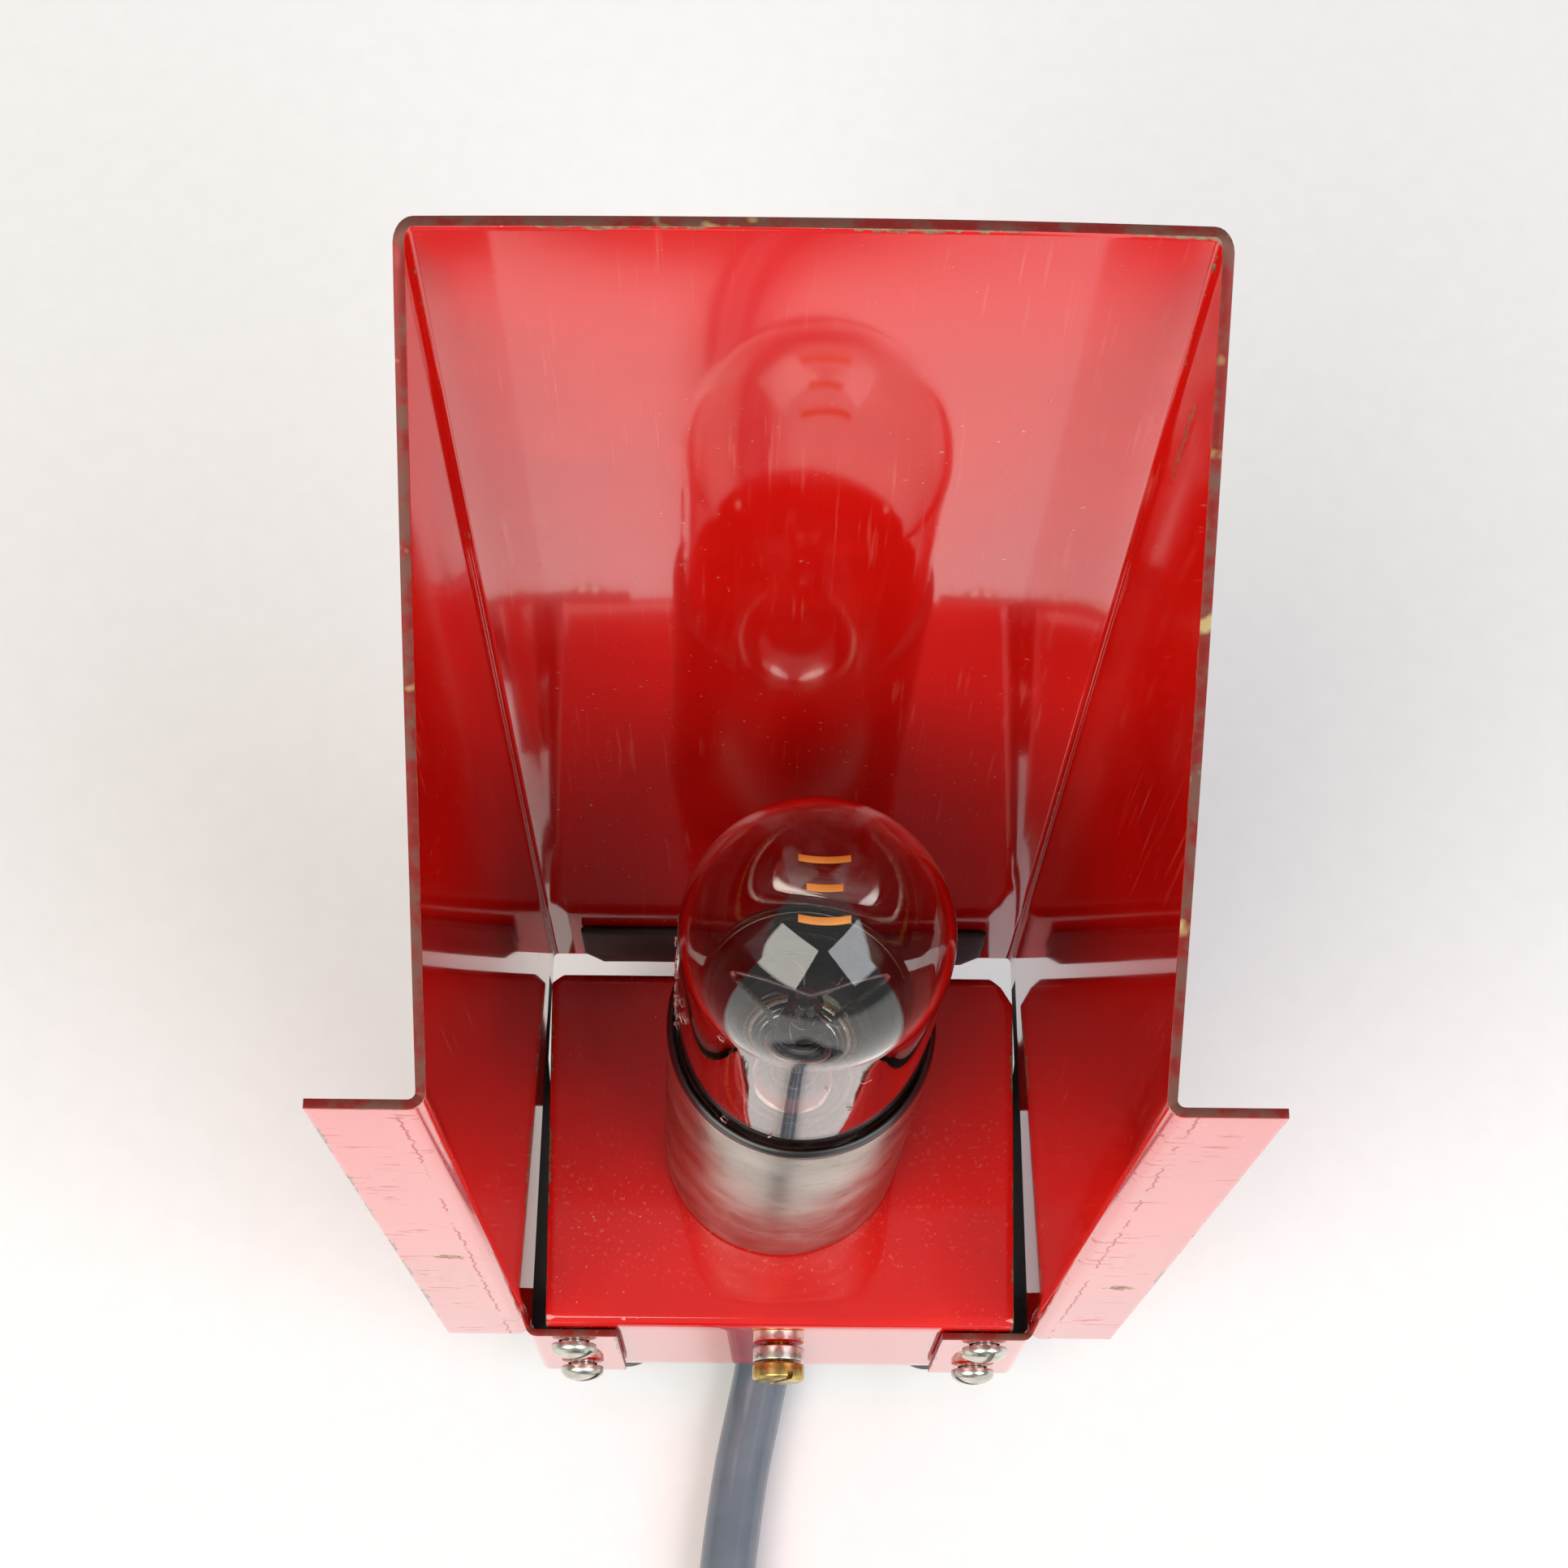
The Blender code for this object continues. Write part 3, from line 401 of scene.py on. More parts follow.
def turnedPiece(name, corners, mat, matrix, radius=0.25, steps=64, closed=False, body="head", replaces=None,
                arcSteps=3):
    bm = bmesh.new()
    revolve(bm, rounded(corners, radius, arcSteps, closed), steps, closed)
    return finishPiece(name, toMesh(name, bm, matrix), [mat], body, [replaces or name])


def shifted(x, y, z):
    # a point in millimetres
    return Matrix.Translation(Vector((x, y, z)) * mm)


def alongY(x, y, z):
    # a frame whose +Z points out of the front
    return shifted(x, y, z) @ Matrix.Rotation(math.pi / 2, 4, "X")


def aimed(at, direction):
    # a frame at a point in metres, whose +Z runs along a direction
    turn = Vector((0, 0, 1)).rotation_difference(direction.normalized())
    return Matrix.Translation(at) @ turn.to_matrix().to_4x4()


def bake(piece):
    # applies the modifiers
    mesh = bpy.data.meshes.new_from_object(piece.evaluated_get(bpy.context.evaluated_depsgraph_get()))
    piece.modifiers.clear()
    piece.data = mesh
    mesh.shade_smooth()
    mesh.set_sharp_from_angle(angle=math.radians(38))


def cut(piece, cutter):
    # takes the cutter out of the piece's mesh and removes it
    modifier = piece.modifiers.new("cut", "BOOLEAN")
    modifier.object, modifier.solver = cutter, "EXACT"
    bake(piece)
    bpy.data.objects.remove(cutter)


def boxCutter(size, matrix):
    bm = bmesh.new()
    bmesh.ops.create_cube(bm, size=1.0)
    bmesh.ops.scale(bm, vec=Vector(size) * mm, verts=bm.verts)
    return addObject("cutter", toMesh("cutter", bm, matrix))


def rodCutter(matrix, radius, length):
    bm = bmesh.new()
    revolve(bm, [(0, -length / 2), (radius, -length / 2), (radius, length / 2), (0, length / 2)], 40)
    return addObject("cutter", toMesh("cutter", bm, matrix))


def thicken(piece, sheet):
    # gives a surface its sheet thickness, with softened edges
    solid = piece.modifiers.new("sheet", "SOLIDIFY")
    solid.thickness, solid.offset, solid.use_even_offset = sheet * mm, 0.0, True
    solid.use_rim, solid.material_offset_rim = True, 1
    bevel = piece.modifiers.new("edges", "BEVEL")
    bevel.width, bevel.segments, bevel.limit_method = 0.14 * mm, 2, "ANGLE"
    bevel.angle_limit = math.radians(55)
    bake(piece)


joint = {j["name"]: j for j in frame["joints"]}["lamp_turn"]
holderPlace = aimed(Vector(joint["pos_m"]), Vector(joint["axis"]))


viewpoint = {"at": (-3.44, -72.19, 355.33), "right": (0.999882, 0.00723, 0.013573),
             "down": (0.011536, -0.936278, -0.351072), "ahead": (0.010169, 0.351187, -0.93625), "lens": 61.49}


def addCamera():
    data = bpy.data.cameras.new("viewCamera")
    data.lens, data.sensor_width = viewpoint["lens"], 36
    data.clip_start, data.clip_end = 0.01, 20
    camera = addObject("viewCamera", data)
    right, down, ahead = (Vector(viewpoint[k]) for k in ("right", "down", "ahead"))
    turn = Matrix((right, -down, -ahead)).transposed()
    camera.matrix_world = shifted(*viewpoint["at"]) @ turn.to_4x4()
    bpy.context.scene.camera = camera


addCamera()

cordSizes = {"radius": 3.5, "coilCentre": (-14.0, -158.0), "coilRadius": 39.5, "bundle": 10.6,
             "pitch": 7.1, "bootIn": (1.6, 13.0, 13.2), "bootOut": (-0.75, -11.5, 5.2), "tieLift": 1.3,
             "plug": (27.2, -143.0, 27.0), "plugTurn": -2.42, "plugTilt": 0.15, "length": 1.9}


def smoothPath(points, spacing):
    # Catmull-Rom curve through points in millimetres
    pts = [Vector(p) for p in points]
    pts = [pts[0] * 2 - pts[1]] + pts + [pts[-1] * 2 - pts[-2]]
    path = []
    for a, b, c, d in zip(pts, pts[1:], pts[2:], pts[3:]):
        count = max(1, round((c - b).length / spacing))
        for k in range(count):
            t = k / count
            path.append(0.5 * ((2 * b) + (c - a) * t + (2 * a - 5 * b + 4 * c - d) * t ** 2
                               + (3 * b - a - 3 * c + d) * t ** 3))
    return path + [pts[-2]]


def coilPoint(degrees, reach, height):
    angle = math.radians(degrees)
    x, y = cordSizes["coilCentre"]
    return Vector((x + reach * math.cos(angle), y + reach * math.sin(angle), height))


def ease(t):
    t = min(1.0, max(0.0, t))
    return t * t * (3 - 2 * t)


def besideCoil():
    # how far from the coil's centre the cord lies when it runs beside the windings
    return cordSizes["coilRadius"] + cordSizes["bundle"] + cordSizes["radius"] + 0.6


def coilPath():
    # clockwise: in along the floor to the inside, up, and out again on the second layer
    c = cordSizes
    outer, beside = c["coilRadius"] + c["pitch"], besideCoil()
    floor, upper, end = c["radius"] + 0.02, c["radius"] + c["pitch"] * 0.985, 11.0
    climbAt, leaveAt, tieHalf = 3.0, 6.4, 0.9  # turns, turns, radians
    path = []
    first, last = -24, 95 - 360 * 7
    for step in range(0, first - last + 1, 6):
        degrees = first - step
        turned = step / 360
        if turned > climbAt:
            reach = outer + c["pitch"] * (sum(ease((turned - k) / 0.3) for k in (4.0, 5.0)) - 2)
        else:
            reach = beside + (outer - beside) * ease(turned / 0.22)
            reach -= c["pitch"] * sum(ease((turned - k) / 0.3) for k in (0.95, 1.95))
        leave = ease((turned - leaveAt) / 0.27)
        reach += (beside - outer) * leave
        height = floor + (upper - floor) * ease((turned - climbAt) / 0.35) + (end - upper) * leave
        under = math.radians((degrees + 90 + 180) % 360 - 180)
        if abs(under) < tieHalf and turned < leaveAt:
            height += c["tieLift"] * (0.5 + 0.5 * math.cos(under / tieHalf * math.pi))
        wobble = 0.25 * noise.noise(Vector((turned * 3.1, 2.0, 5.0)))
        path.append(coilPoint(degrees, reach + wobble, height))
    return path


def cordPath():
    c = cordSizes
    inside, out = Vector(c["bootIn"]), Vector(c["bootOut"])
    beside = besideCoil()
    begin = out - (out - inside).normalized() * 1.0
    flat = math.cos(c["plugTilt"])
    ahead = Vector((flat * math.cos(c["plugTurn"]), flat * math.sin(c["plugTurn"]), math.sin(c["plugTilt"])))
    plug = Vector(c["plug"])
    lead = [begin, (-1.75, -20.4, 3.62), (-3.0, -27.0, 3.55), (-4.7, -36.0, 3.5), (-6.3, -50.0, 3.5),
            (-7.2, -70.0, 3.5), (-6.3, -86.0, 3.5), (0.5, -99.0, 3.5)]
    lead += [coilPoint(degrees, beside, 3.5) for degrees in (58, 40, 22, 0)]
    tail = [coilPoint(78, beside, 11.2), (14.0, -107.3, 12.6), (28.1, -113.4, 16.6), (35.4, -125.5, 21.4),
            plug - ahead * 8, plug - ahead * 3, plug + ahead * 1.0]
    coil = coilPath()
    start = smoothPath(lead + [coil[0]], 2.0)
    end = smoothPath([coil[-1]] + tail, 2.5)
    return [p * mm for p in start[:-1] + coil + end[1:]]


def tubeCurve(name, path, radius, mat):
    curve = bpy.data.curves.new(name, "CURVE")
    curve.dimensions = "3D"
    curve.bevel_depth, curve.bevel_resolution, curve.use_fill_caps = radius * mm, 5, True
    spline = curve.splines.new("POLY")
    spline.points.add(len(path) - 1)
    for point, p in zip(spline.points, path):
        point.co = (*p, 1)
    spline.use_smooth = True
    curve.materials.append(mat)
    return addObject(name, curve)


def sweep(bm, path, section, closedPath=False):
    # carries a closed 2D section (millimetres) along a path (metres), without twisting
    rings = []
    up = None
    count = len(path)
    for i, p in enumerate(path):
        ahead = (path[(i + 1) % count] if closedPath or i < count - 1 else p) - (
            path[i - 1] if closedPath or i > 0 else p)
        ahead = Vector(ahead).normalized()
        if up is None:
            up = Vector((0, 0, 1)) if abs(ahead.z) < 0.9 else Vector((0, 1, 0))
        up = (up - ahead * up.dot(ahead)).normalized()
        side = ahead.cross(up)
        rings.append([bm.verts.new(Vector(p) + (side * x + up * y) * mm) for x, y in section])
    skin(bm, rings + (rings[:1] if closedPath else []), True)
    if not closedPath:
        bm.faces.new(rings[0])
        bm.faces.new(rings[-1])


plugSizes = {"relief": 26.0, "ribs": 6, "length": 38.0, "pinOut": 9.5, "pin": 2.4, "pinLength": 19.0}


def addPlug():
    s = plugSizes
    c = cordSizes
    where = shifted(*c["plug"]) @ Matrix.Rotation(c["plugTurn"], 4, "Z") \
        @ Matrix.Rotation(math.pi / 2 - c["plugTilt"], 4, "Y")
    # ribbed relief: rings that thicken towards the plug
    corners = [(0, 0, 0), (3.75, 0)]
    for k in range(s["ribs"]):
        z = 2.0 + k * (s["relief"] - 5) / s["ribs"]
        r = 4.0 + 2.1 * k / s["ribs"]
        corners += [(r - 0.05, z), (r + 0.1, z + 2.3), (r - 0.65, z + 2.35), (r - 0.6, z + 3.4)]
    corners += [(6.2, s["relief"] - 2), (6.2, s["relief"]), (0, s["relief"], 0)]
    relief = turnedPiece("plug_relief_boot", corners, plugPvc, where, 0.18, 48, replaces="plug_relief")
    low = s["relief"] + 0.3
    face = low + s["length"]
    corners = [(0, low, 0), (9.6, low), (11.6, low + 4, 2), (13.2, low + 12, 6), (15.4, low + 19, 6),
               (18.4, low + 24, 2.5), (18.4, low + 33, 0.4), (18.0, low + 33.3, 0.3), (18.0, low + 34, 0.3),
               (18.4, low + 34.3, 0.4), (18.4, face, 1.2), (14.5, face, 0.5), (14.2, face - 0.5, 0.3),
               (0, face - 0.5, 0)]
    body = turnedPiece("plug_housing", corners, plugPvc, where, 0.8, 96, replaces="plug_body",
                       arcSteps=5)
    for vert in body.data.vertices:  # two pressed grips where finger and thumb hold it
        local = where.inverted() @ vert.co
        z = local.z / mm - low
        if 3 < z < 24:
            depth = ease((z - 3) / 5) * ease((24 - z) / 5) * 1.6
            squeeze = max(0.0, abs(local.normalized().x) - 0.2)
            rib = 0.25 * (0.5 + 0.5 * math.cos(z * 2.4))
            pressed = depth * squeeze + (rib if depth > 1.2 and squeeze > 0.5 else 0)
            local.x -= math.copysign(pressed * mm, local.x)
            vert.co = where @ local
    foot = face - 0.4
    tip = foot + s["pinLength"]
    corners = [(0, foot, 0), (s["pin"], foot, 0), (s["pin"], tip - 1.6, 1.2), (1.2, tip, 1.0), (0, tip, 0)]
    pins = [turnedPiece(f"plug_pin_{tag}_turned", corners, nickel, where @ shifted(0, side * s["pinOut"], 0),
                        1.0, 40, replaces=f"plug_pin_{tag}", arcSteps=5)
            for side, tag in ((-1, "left"), (1, "right"))]
    return [relief, body] + pins


def addTie():
    # ribbed rubber band looped once round the windings, with its tongue through the buckle
    c = cordSizes
    wide, tall = c["bundle"] + 1.0, c["pitch"] + 1.0
    at = coilPoint(-90, c["coilRadius"], 8.7)
    boxy = 0.72  # the power that makes a rounded box of the circle
    path = [(at + Vector((0, math.copysign(abs(x) ** boxy, x) * wide,
                          math.copysign(abs(z) ** boxy, z) * tall))) * mm for x, z in circle(1, 72)]
    bm = bmesh.new()
    section = rounded([(-2.9, -0.45), (2.9, -0.45), (2.9, 0.45), (1.2, 0.45), (0.9, 0.6), (-0.9, 0.6),
                       (-1.2, 0.45), (-2.9, 0.45)], 0.15, 2)
    sweepFlat(bm, path, section, at * mm)
    buckle = rounded([(-3.6, -2.6), (3.6, -2.6), (3.6, 2.6), (-3.6, 2.6)], 0.8, 4)
    top = at + Vector((0, 0, tall + 0.9))
    ring = [(top + Vector((p.x, p.y, 0))) * mm for p in buckle]
    sweep(bm, ring, rounded([(-0.5, -0.5), (0.5, -0.5), (0.5, 0.5), (-0.5, 0.5)], 0.2, 2), True)
    return finishPiece("coil_tie_band", toMesh("coil_tie_band", bm), [rubber], "head", ["coil_tie"])


def sweepFlat(bm, path, section, centre):
    # section x runs along X, section y away from the centre
    rings = []
    side = Vector((1, 0, 0))
    for i, p in enumerate(path):
        out = (path[(i + 1) % len(path)] - path[i - 1]).normalized().cross(side)
        if out.dot(p - centre) < 0:
            out = -out
        rings.append([bm.verts.new(p + (side * x + out * y) * mm) for x, y in section])
    skin(bm, rings + rings[:1], True)


def addCord():
    path = cordPath()
    cord = tubeCurve("mains_cord", path, cordSizes["radius"], cordPvc)
    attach(cord, "head")
    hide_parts("cord", "cord_coil", "cord_tail")
    pieces = addPlug() + [addTie()]
    long = sum((b - a).length for a, b in zip(path, path[1:]))
    print(f"cord laid, {long:.3f} m")


addCord()


hoodSizes = {"sheet": 0.8, "front": -22.35, "frontX": 29.5, "panel": 25.5, "backX": 28.9, "flange": 9.1,
             "tab": 19.1, "bend": 1.0, "top": 201.4, "frontTop": 150.2, "narrow": 1.1, "hollow": 0.3,
             "ripple": 0.05, "holeX": 24.3, "holeZ": (17.0, 35.0), "hole": 1.85, "notch": 40, "foot": 12}


def hoodTop(y):
    s = hoodSizes
    run = (s["top"] - s["frontTop"]) / (s["panel"] + 0.4 - s["front"] - 0.8)
    return min(s["top"], max(s["frontTop"], s["top"] + (y - s["panel"] - 0.4) * run))


def hoodFoot(y):
    if y < 8.0:
        return hoodSizes["foot"]
    return min(34.8, 26.0 + (y - 8.0) * 8.8 / 3.6)


def edgeFade(distance, reach=1.3):
    return max(0.0, 1.0 - distance / reach)


def hoodColumns():
    # (x, y, fold) along the sheet's middle from the left fold to the right fold
    s = hoodSizes
    slant = (s["frontX"] - s["backX"]) / (s["panel"] - s["front"])
    half = []
    ys = [s["front"] + s["bend"], -20.6, -19.8, -18] + [-16 + 2 * k for k in range(12)] + [7.98, 8.03] \
        + [9.2, 10.4, 11.6, 13] + [15 + 2 * k for k in range(5)] + [s["panel"] - s["bend"]]
    for y in ys:
        half.append((-(s["frontX"] - slant * (y - s["front"])), y, 0.0))
    for k in range(1, 6):
        a = math.pi / 2 * k / 6
        half.append((-s["backX"] + s["bend"] * (1 - math.cos(a)), s["panel"] - s["bend"] * (1 - math.sin(a)),
                     0.75 * math.sin(2 * a)))
    across = s["backX"] - s["bend"]
    for k in range(29):
        half.append((-across + 2 * across * k / 28, s["panel"], 0.0))
    left = half[:-29]
    return half + [(-x, y, f) for x, y, f in reversed(left)]


def hoodPoint(x, y, z):
    # narrows to the top and back, with a slightly hollow panel and faint ripple
    s = hoodSizes
    back = (y - s["front"]) / (s["panel"] - s["front"])
    rise = (z - 40) / (s["top"] - 40)
    if abs(x) > 1e-6:
        x -= math.copysign(s["narrow"] * rise * back, x)
    inner = max(0.0, 1 - (x / 27.5) ** 2)
    ripple = noise.noise(Vector((x * 0.03, z * 0.022, 4.0))) * s["ripple"]
    if y > 24.9:
        y += s["hollow"] * inner * ease((z - 36) / 30) + ripple * inner
    elif -21 < y < 24:
        x += ripple * 2 * (1 - abs(2 * (y - 1) / 46) ** 2)
    return Vector((x, y, z)) * mm


def addHood():
    s = hoodSizes
    columns = hoodColumns()
    low = [0, 0.03, 0.07, 0.16, 0.28, 0.4, 0.52, 0.64, 0.76, 0.88, 0.925, 0.9465, 1.0]
    high = [0.004, 0.012, 0.025] + [0.05 + 0.03 * k for k in range(31)] + [0.975, 0.988, 0.996, 1.0]
    bm = bmesh.new()
    near = bm.verts.layers.float.new("edgeNear")

    def add(x, y, z, value):
        vert = bm.verts.new(hoodPoint(x, y, z))
        vert[near] = value
        return vert

    grid = []
    for x, y, fold in columns:
        foot, top = hoodFoot(y), hoodTop(y)
        line = []
        for t in low:
            z = foot + t * (s["notch"] - foot)
            step = edgeFade(abs(y - 8)) if z < 26 and abs(y) < 25 else 0
            value = max(edgeFade(z - foot), step, fold)
            if 38 < z and y < s["front"] + 2:
                value = max(value, 0.8)
            line.append(add(x, y, z, value))
        for t in high:
            z = s["notch"] + t * (top - s["notch"])
            line.append(add(x, y, z, max(edgeFade(top - z, 1.6), fold)))
        grid.append(line)
    skin(bm, grid)
    bend = [(s["bend"] * (1 - math.cos(a)), s["bend"] * (1 - math.sin(a)), 0.35)
            for a in (math.pi / 12 * k for k in range(1, 7))]
    flange = bend + [(s["bend"] + d, 0.0, edgeFade(s["flange"] - s["bend"] - d))
                     for d in (0.9, 1.9, 3, 4.2, 5.4, 6.4, 7.1, 7.7, 8.1)]
    width = s["frontX"] - s["tab"]
    tab = bend + [(d, 0.0, edgeFade(width - d)) for d in (2, 3.3, 5.2, 7, 8.4, 9.4, 10, width)]
    # flange outwards above the notch, tab inwards below it
    split = len(low) - 1
    folds = ((slice(split, None), [0] + high, flange, 1, s["notch"], s["frontTop"], s["frontTop"], 2),
             (slice(0, split), low[:-1], tab, -1, s["foot"], s["notch"], s["notch"] - 1.5, 0))
    for side, edge in ((-1, grid[0]), (1, grid[-1])):
        for span, shares, steps, outward, foot, top, worn, index in folds:
            zs = [foot + t * (top - foot) for t in shares]
            rows = [edge[span]]
            for across, back, value in steps:
                rows.append([add(side * (s["frontX"] + outward * across), s["front"] + back, z,
                                 max(value, edgeFade(worn - z), edgeFade(z - foot))) for z in zs])
            skin(bm, rows, index=index)
    hood = finishPiece("enamelled_hood", toMesh("enamelled_hood", bm), [enamel, cutEdge, scraped, cutEdge],
                       "head", ["hood"])
    thicken(hood, s["sheet"])
    for side in (-1, 1):
        for z in s["holeZ"]:
            cut(hood, rodCutter(alongY(side * s["holeX"], s["front"], z), s["hole"], 4))


traySizes = {"sheet": 0.8, "front": -21.22, "back": 20.8, "top": 39.6, "foot": 9.4, "lip": 9.0, "bend": 1.0,
             "halfFront": 27.4, "halfBack": 28.17, "lipX": 13.0, "clipLeft": (2.1, 1.4),
             "clipRight": (3.4, 2.4), "nippleHole": 5.3, "footHole": 2.1, "footX": 19.5,
             "footY": (-16.32, 15.9), "middleZ": 25.4}


def trayProfile():
    # (y, z, part) from the front lip, up the front, over the top and down to the back lip
    s = traySizes
    corners = [(s["front"] + s["lip"], s["foot"], 0), (s["front"], s["foot"]), (s["front"], s["top"]),
               (s["back"], s["top"]), (s["back"], s["foot"]), (s["back"] - s["lip"], s["foot"], 0)]
    bent = rounded(corners, s["bend"], 6, closed=False)
    path = []
    for a, b in zip(bent, bent[1:]):
        count = max(1, round((b - a).length / 2.2))
        path += [a.lerp(b, k / count) for k in range(count)]
    return path + [bent[-1]]


def addTray():
    s = traySizes
    bm = bmesh.new()
    near = bm.verts.layers.float.new("edgeNear")
    shares = [0, 0.02, 0.05] + [0.1 + 0.8 * k / 24 for k in range(25)] + [0.95, 0.98, 1]
    rows = []
    for y, z in trayProfile():
        half = s["halfFront"] + (s["halfBack"] - s["halfFront"]) * (y - s["front"]) / (s["back"] - s["front"])
        ends = []
        for side, (cx, cy) in ((-1, s["clipLeft"]), (1, s["clipRight"])):
            back = s["back"] + 0.4 - y
            clip = max(0.0, 1 - back / cy) * cx if back < cy else 0.0
            ends.append(side * (half - clip))
        row = []
        for t in shares:
            x = ends[0] + (ends[1] - ends[0]) * t
            vert = bm.verts.new(Vector((x, y, z)) * mm)
            vert[near] = max(edgeFade(min(x - ends[0], ends[1] - x)), 0.4 if 38.7 < z < 39.55 else 0)
            row.append(vert)
        rows.append(row)
    for a, b in zip(rows, rows[1:]):
        for k in range(len(shares) - 1):
            centre = (a[k].co + b[k + 1].co) / 2 / mm
            if centre.z < s["foot"] + 0.5 and abs(centre.x) < s["lipX"]:
                continue
            bm.faces.new((a[k], a[k + 1], b[k + 1], b[k]))
    bmesh.ops.delete(bm, geom=[v for v in bm.verts if not v.link_faces], context="VERTS")
    tray = finishPiece("enamelled_tray", toMesh("enamelled_tray", bm), [enamel, cutEdge], "head", ["tray"])
    thicken(tray, s["sheet"])
    cut(tray, rodCutter(shifted(0, 0.55, s["top"]), s["nippleHole"], 6))
    for x in (-s["footX"], s["footX"]):
        for y in s["footY"]:
            cut(tray, rodCutter(shifted(x, y, s["foot"]), s["footHole"], 4))
    h = hoodSizes
    for x, z in [(side * h["holeX"], z) for side in (-1, 1) for z in h["holeZ"]] + [(0, s["middleZ"])]:
        cut(tray, rodCutter(alongY(x, s["front"], z), h["hole"], 4))


def addSeal():
    # black rubber draught strip with clipped lower corners, faintly wavy where it is stuck down
    bm = bmesh.new()
    columns = [-24.4, -23.9, -23.2, -22.2] + [-21 + 42 * k / 28 for k in range(29)] + [22.2, 23.2, 23.9, 24.4]
    rows = []
    for x in columns:
        clip = max(0.0, (abs(x) - 22.2) * 1.6)
        line = []
        for k in range(9):
            z = 34.4 + clip + (47 - 34.4 - clip) * k / 8
            wave = 0.08 * noise.noise(Vector((x * 0.16, z * 0.3, 2)))
            line.append(bm.verts.new(Vector((x, 24.5 + wave, z)) * mm))
        rows.append(line)
    skin(bm, rows)
    seal = finishPiece("draught_strip", toMesh("draught_strip", bm), [rubber, rubber], "head", ["seal_strip"])
    thicken(seal, 0.55)


def addFeet():
    corners = [(0, 12.5, 0), (1.5, 12.5, 0.4), (2.9, 10.5, 0.3), (2.9, 10.1, 0.1), (1.75, 10.1, 0.1),
               (1.75, 8.7, 0.1), (4.6, 8.7, 0.3), (5.0, 8.2, 0.3), (4.4, 0.6, 0.5), (3.9, 0, 0.3),
               (2.2, 0, 0.2), (1.6, 0.7, 0.2), (0, 0.7, 0)]
    for node in ("foot_1", "foot_2", "foot_3", "foot_4"):
        lo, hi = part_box(node)
        centre = (lo + hi) / 2
        under = Matrix.Translation((centre.x, centre.y, lo.z))
        turnedPiece(f"rubber_{node}", corners, rubber, under, 0.2, 48, replaces=node)


screwSizes = {"shank": 1.5, "root": 1.22, "pitch": 0.5, "slot": 0.7, "slotDeep": 0.8}


def addScrew(name, x, z, seat, headRadius, headHigh, length, mat, domed, turn):
    s = screwSizes
    where = alongY(x, seat, z)
    if domed:
        corners = [(headRadius * math.sin(a), headHigh * (0.32 + 0.68 * math.cos(a)), 0)
                   for a in (math.pi / 2 * k / 9 for k in range(10))]
        head = list(reversed(corners[1:])) + [(0, headHigh, 0)]
        head = [(headRadius, 0.08, 0.1)] + head
    else:
        head = [(headRadius - 0.1, 0, 0.1), (headRadius, 0.2, 0.1), (headRadius, headHigh - 0.35, 0.2),
                (headRadius - 0.3, headHigh, 0.2), (0, headHigh, 0)]
    screw = [(0, -length, 0), (s["root"] - 0.3, -length, 0.1), (s["root"], -length + 0.35, 0.05)]
    for k in range(int((length - 1.2) / s["pitch"])):
        low = -length + 0.4 + k * s["pitch"]
        screw += [(s["root"], low, 0), (s["shank"], low + s["pitch"] * 0.45, 0),
                  (s["shank"], low + s["pitch"] * 0.55, 0)]
    screw += [(s["root"], -0.7, 0), (s["shank"], -0.5, 0), (s["shank"], 0, 0)]
    bm = bmesh.new()
    revolve(bm, rounded(screw + head, 0.1, 2, closed=False), 48)
    piece = finishPiece(name + "_turned", toMesh(name, bm, where), [mat], "head", [name], sharp=30)
    cut(piece, boxCutter((4 * headRadius, s["slot"], 2 * s["slotDeep"]),
                         where @ Matrix.Rotation(turn, 4, "Z") @ shifted(0, 0, headHigh)))


def addNut(name, x, y, z, mat, body="head", flats=5.5, thick=2.4, bore=1.55, matrix=None):
    # hexagon with both faces turned to a chamfer
    bm = bmesh.new()
    revolve(bm, [(flats, -thick / 2), (flats, thick / 2), (bore + 0.25, thick / 2), (bore, thick / 2 - 0.25),
                 (bore, -thick / 2 + 0.25), (bore + 0.25, -thick / 2)], 72, closed=True)
    for vert in bm.verts:
        flat = Vector((vert.co.x, vert.co.y)) / mm
        if flat.length > flats * 0.9:
            angle = math.atan2(flat.y, flat.x)
            off = (angle + math.pi / 6) % (math.pi / 3) - math.pi / 6
            reach = flats / 2 / math.cos(off)
            vert.co.x, vert.co.y = reach * math.cos(angle) * mm, reach * math.sin(angle) * mm
            past = reach - flats / 2 * 1.02
            if past > 0:
                vert.co.z -= math.copysign(past * 0.5 * mm, vert.co.z)
    where = matrix or alongY(x, y, z)
    return finishPiece(name + "_hex", toMesh(name, bm, where), [mat], body, [name], sharp=25)


def addFixings():
    for side, word in ((-1, "left"), (1, "right")):
        for z, level, turn, more in zip(hoodSizes["holeZ"], ("lower", "upper"), (0.5, -0.35), (0, 0.9)):
            x = side * hoodSizes["holeX"]
            addScrew(f"tab_screw_{word}_{level}", x, z, -23.07, 2.65, 1.8, 7.4, zinc, True,
                     more - turn * side)
            addNut(f"tab_nut_{word}_{level}", x, -19.32, z, zinc)
    addScrew("middle_screw", 0, 25.4, -23.92, 3.15, 1.98, 9.6, brass, False, 1.1)
    addNut("middle_nut", 0, -17.72, 25.4, brass)
    turnedPiece("middle_collar", [(1.85, 0.0), (3.1, 0.0), (3.1, 1.7), (1.85, 1.7)], zinc,
                alongY(0, -21.92, 25.4), 0.15, 48, closed=True)


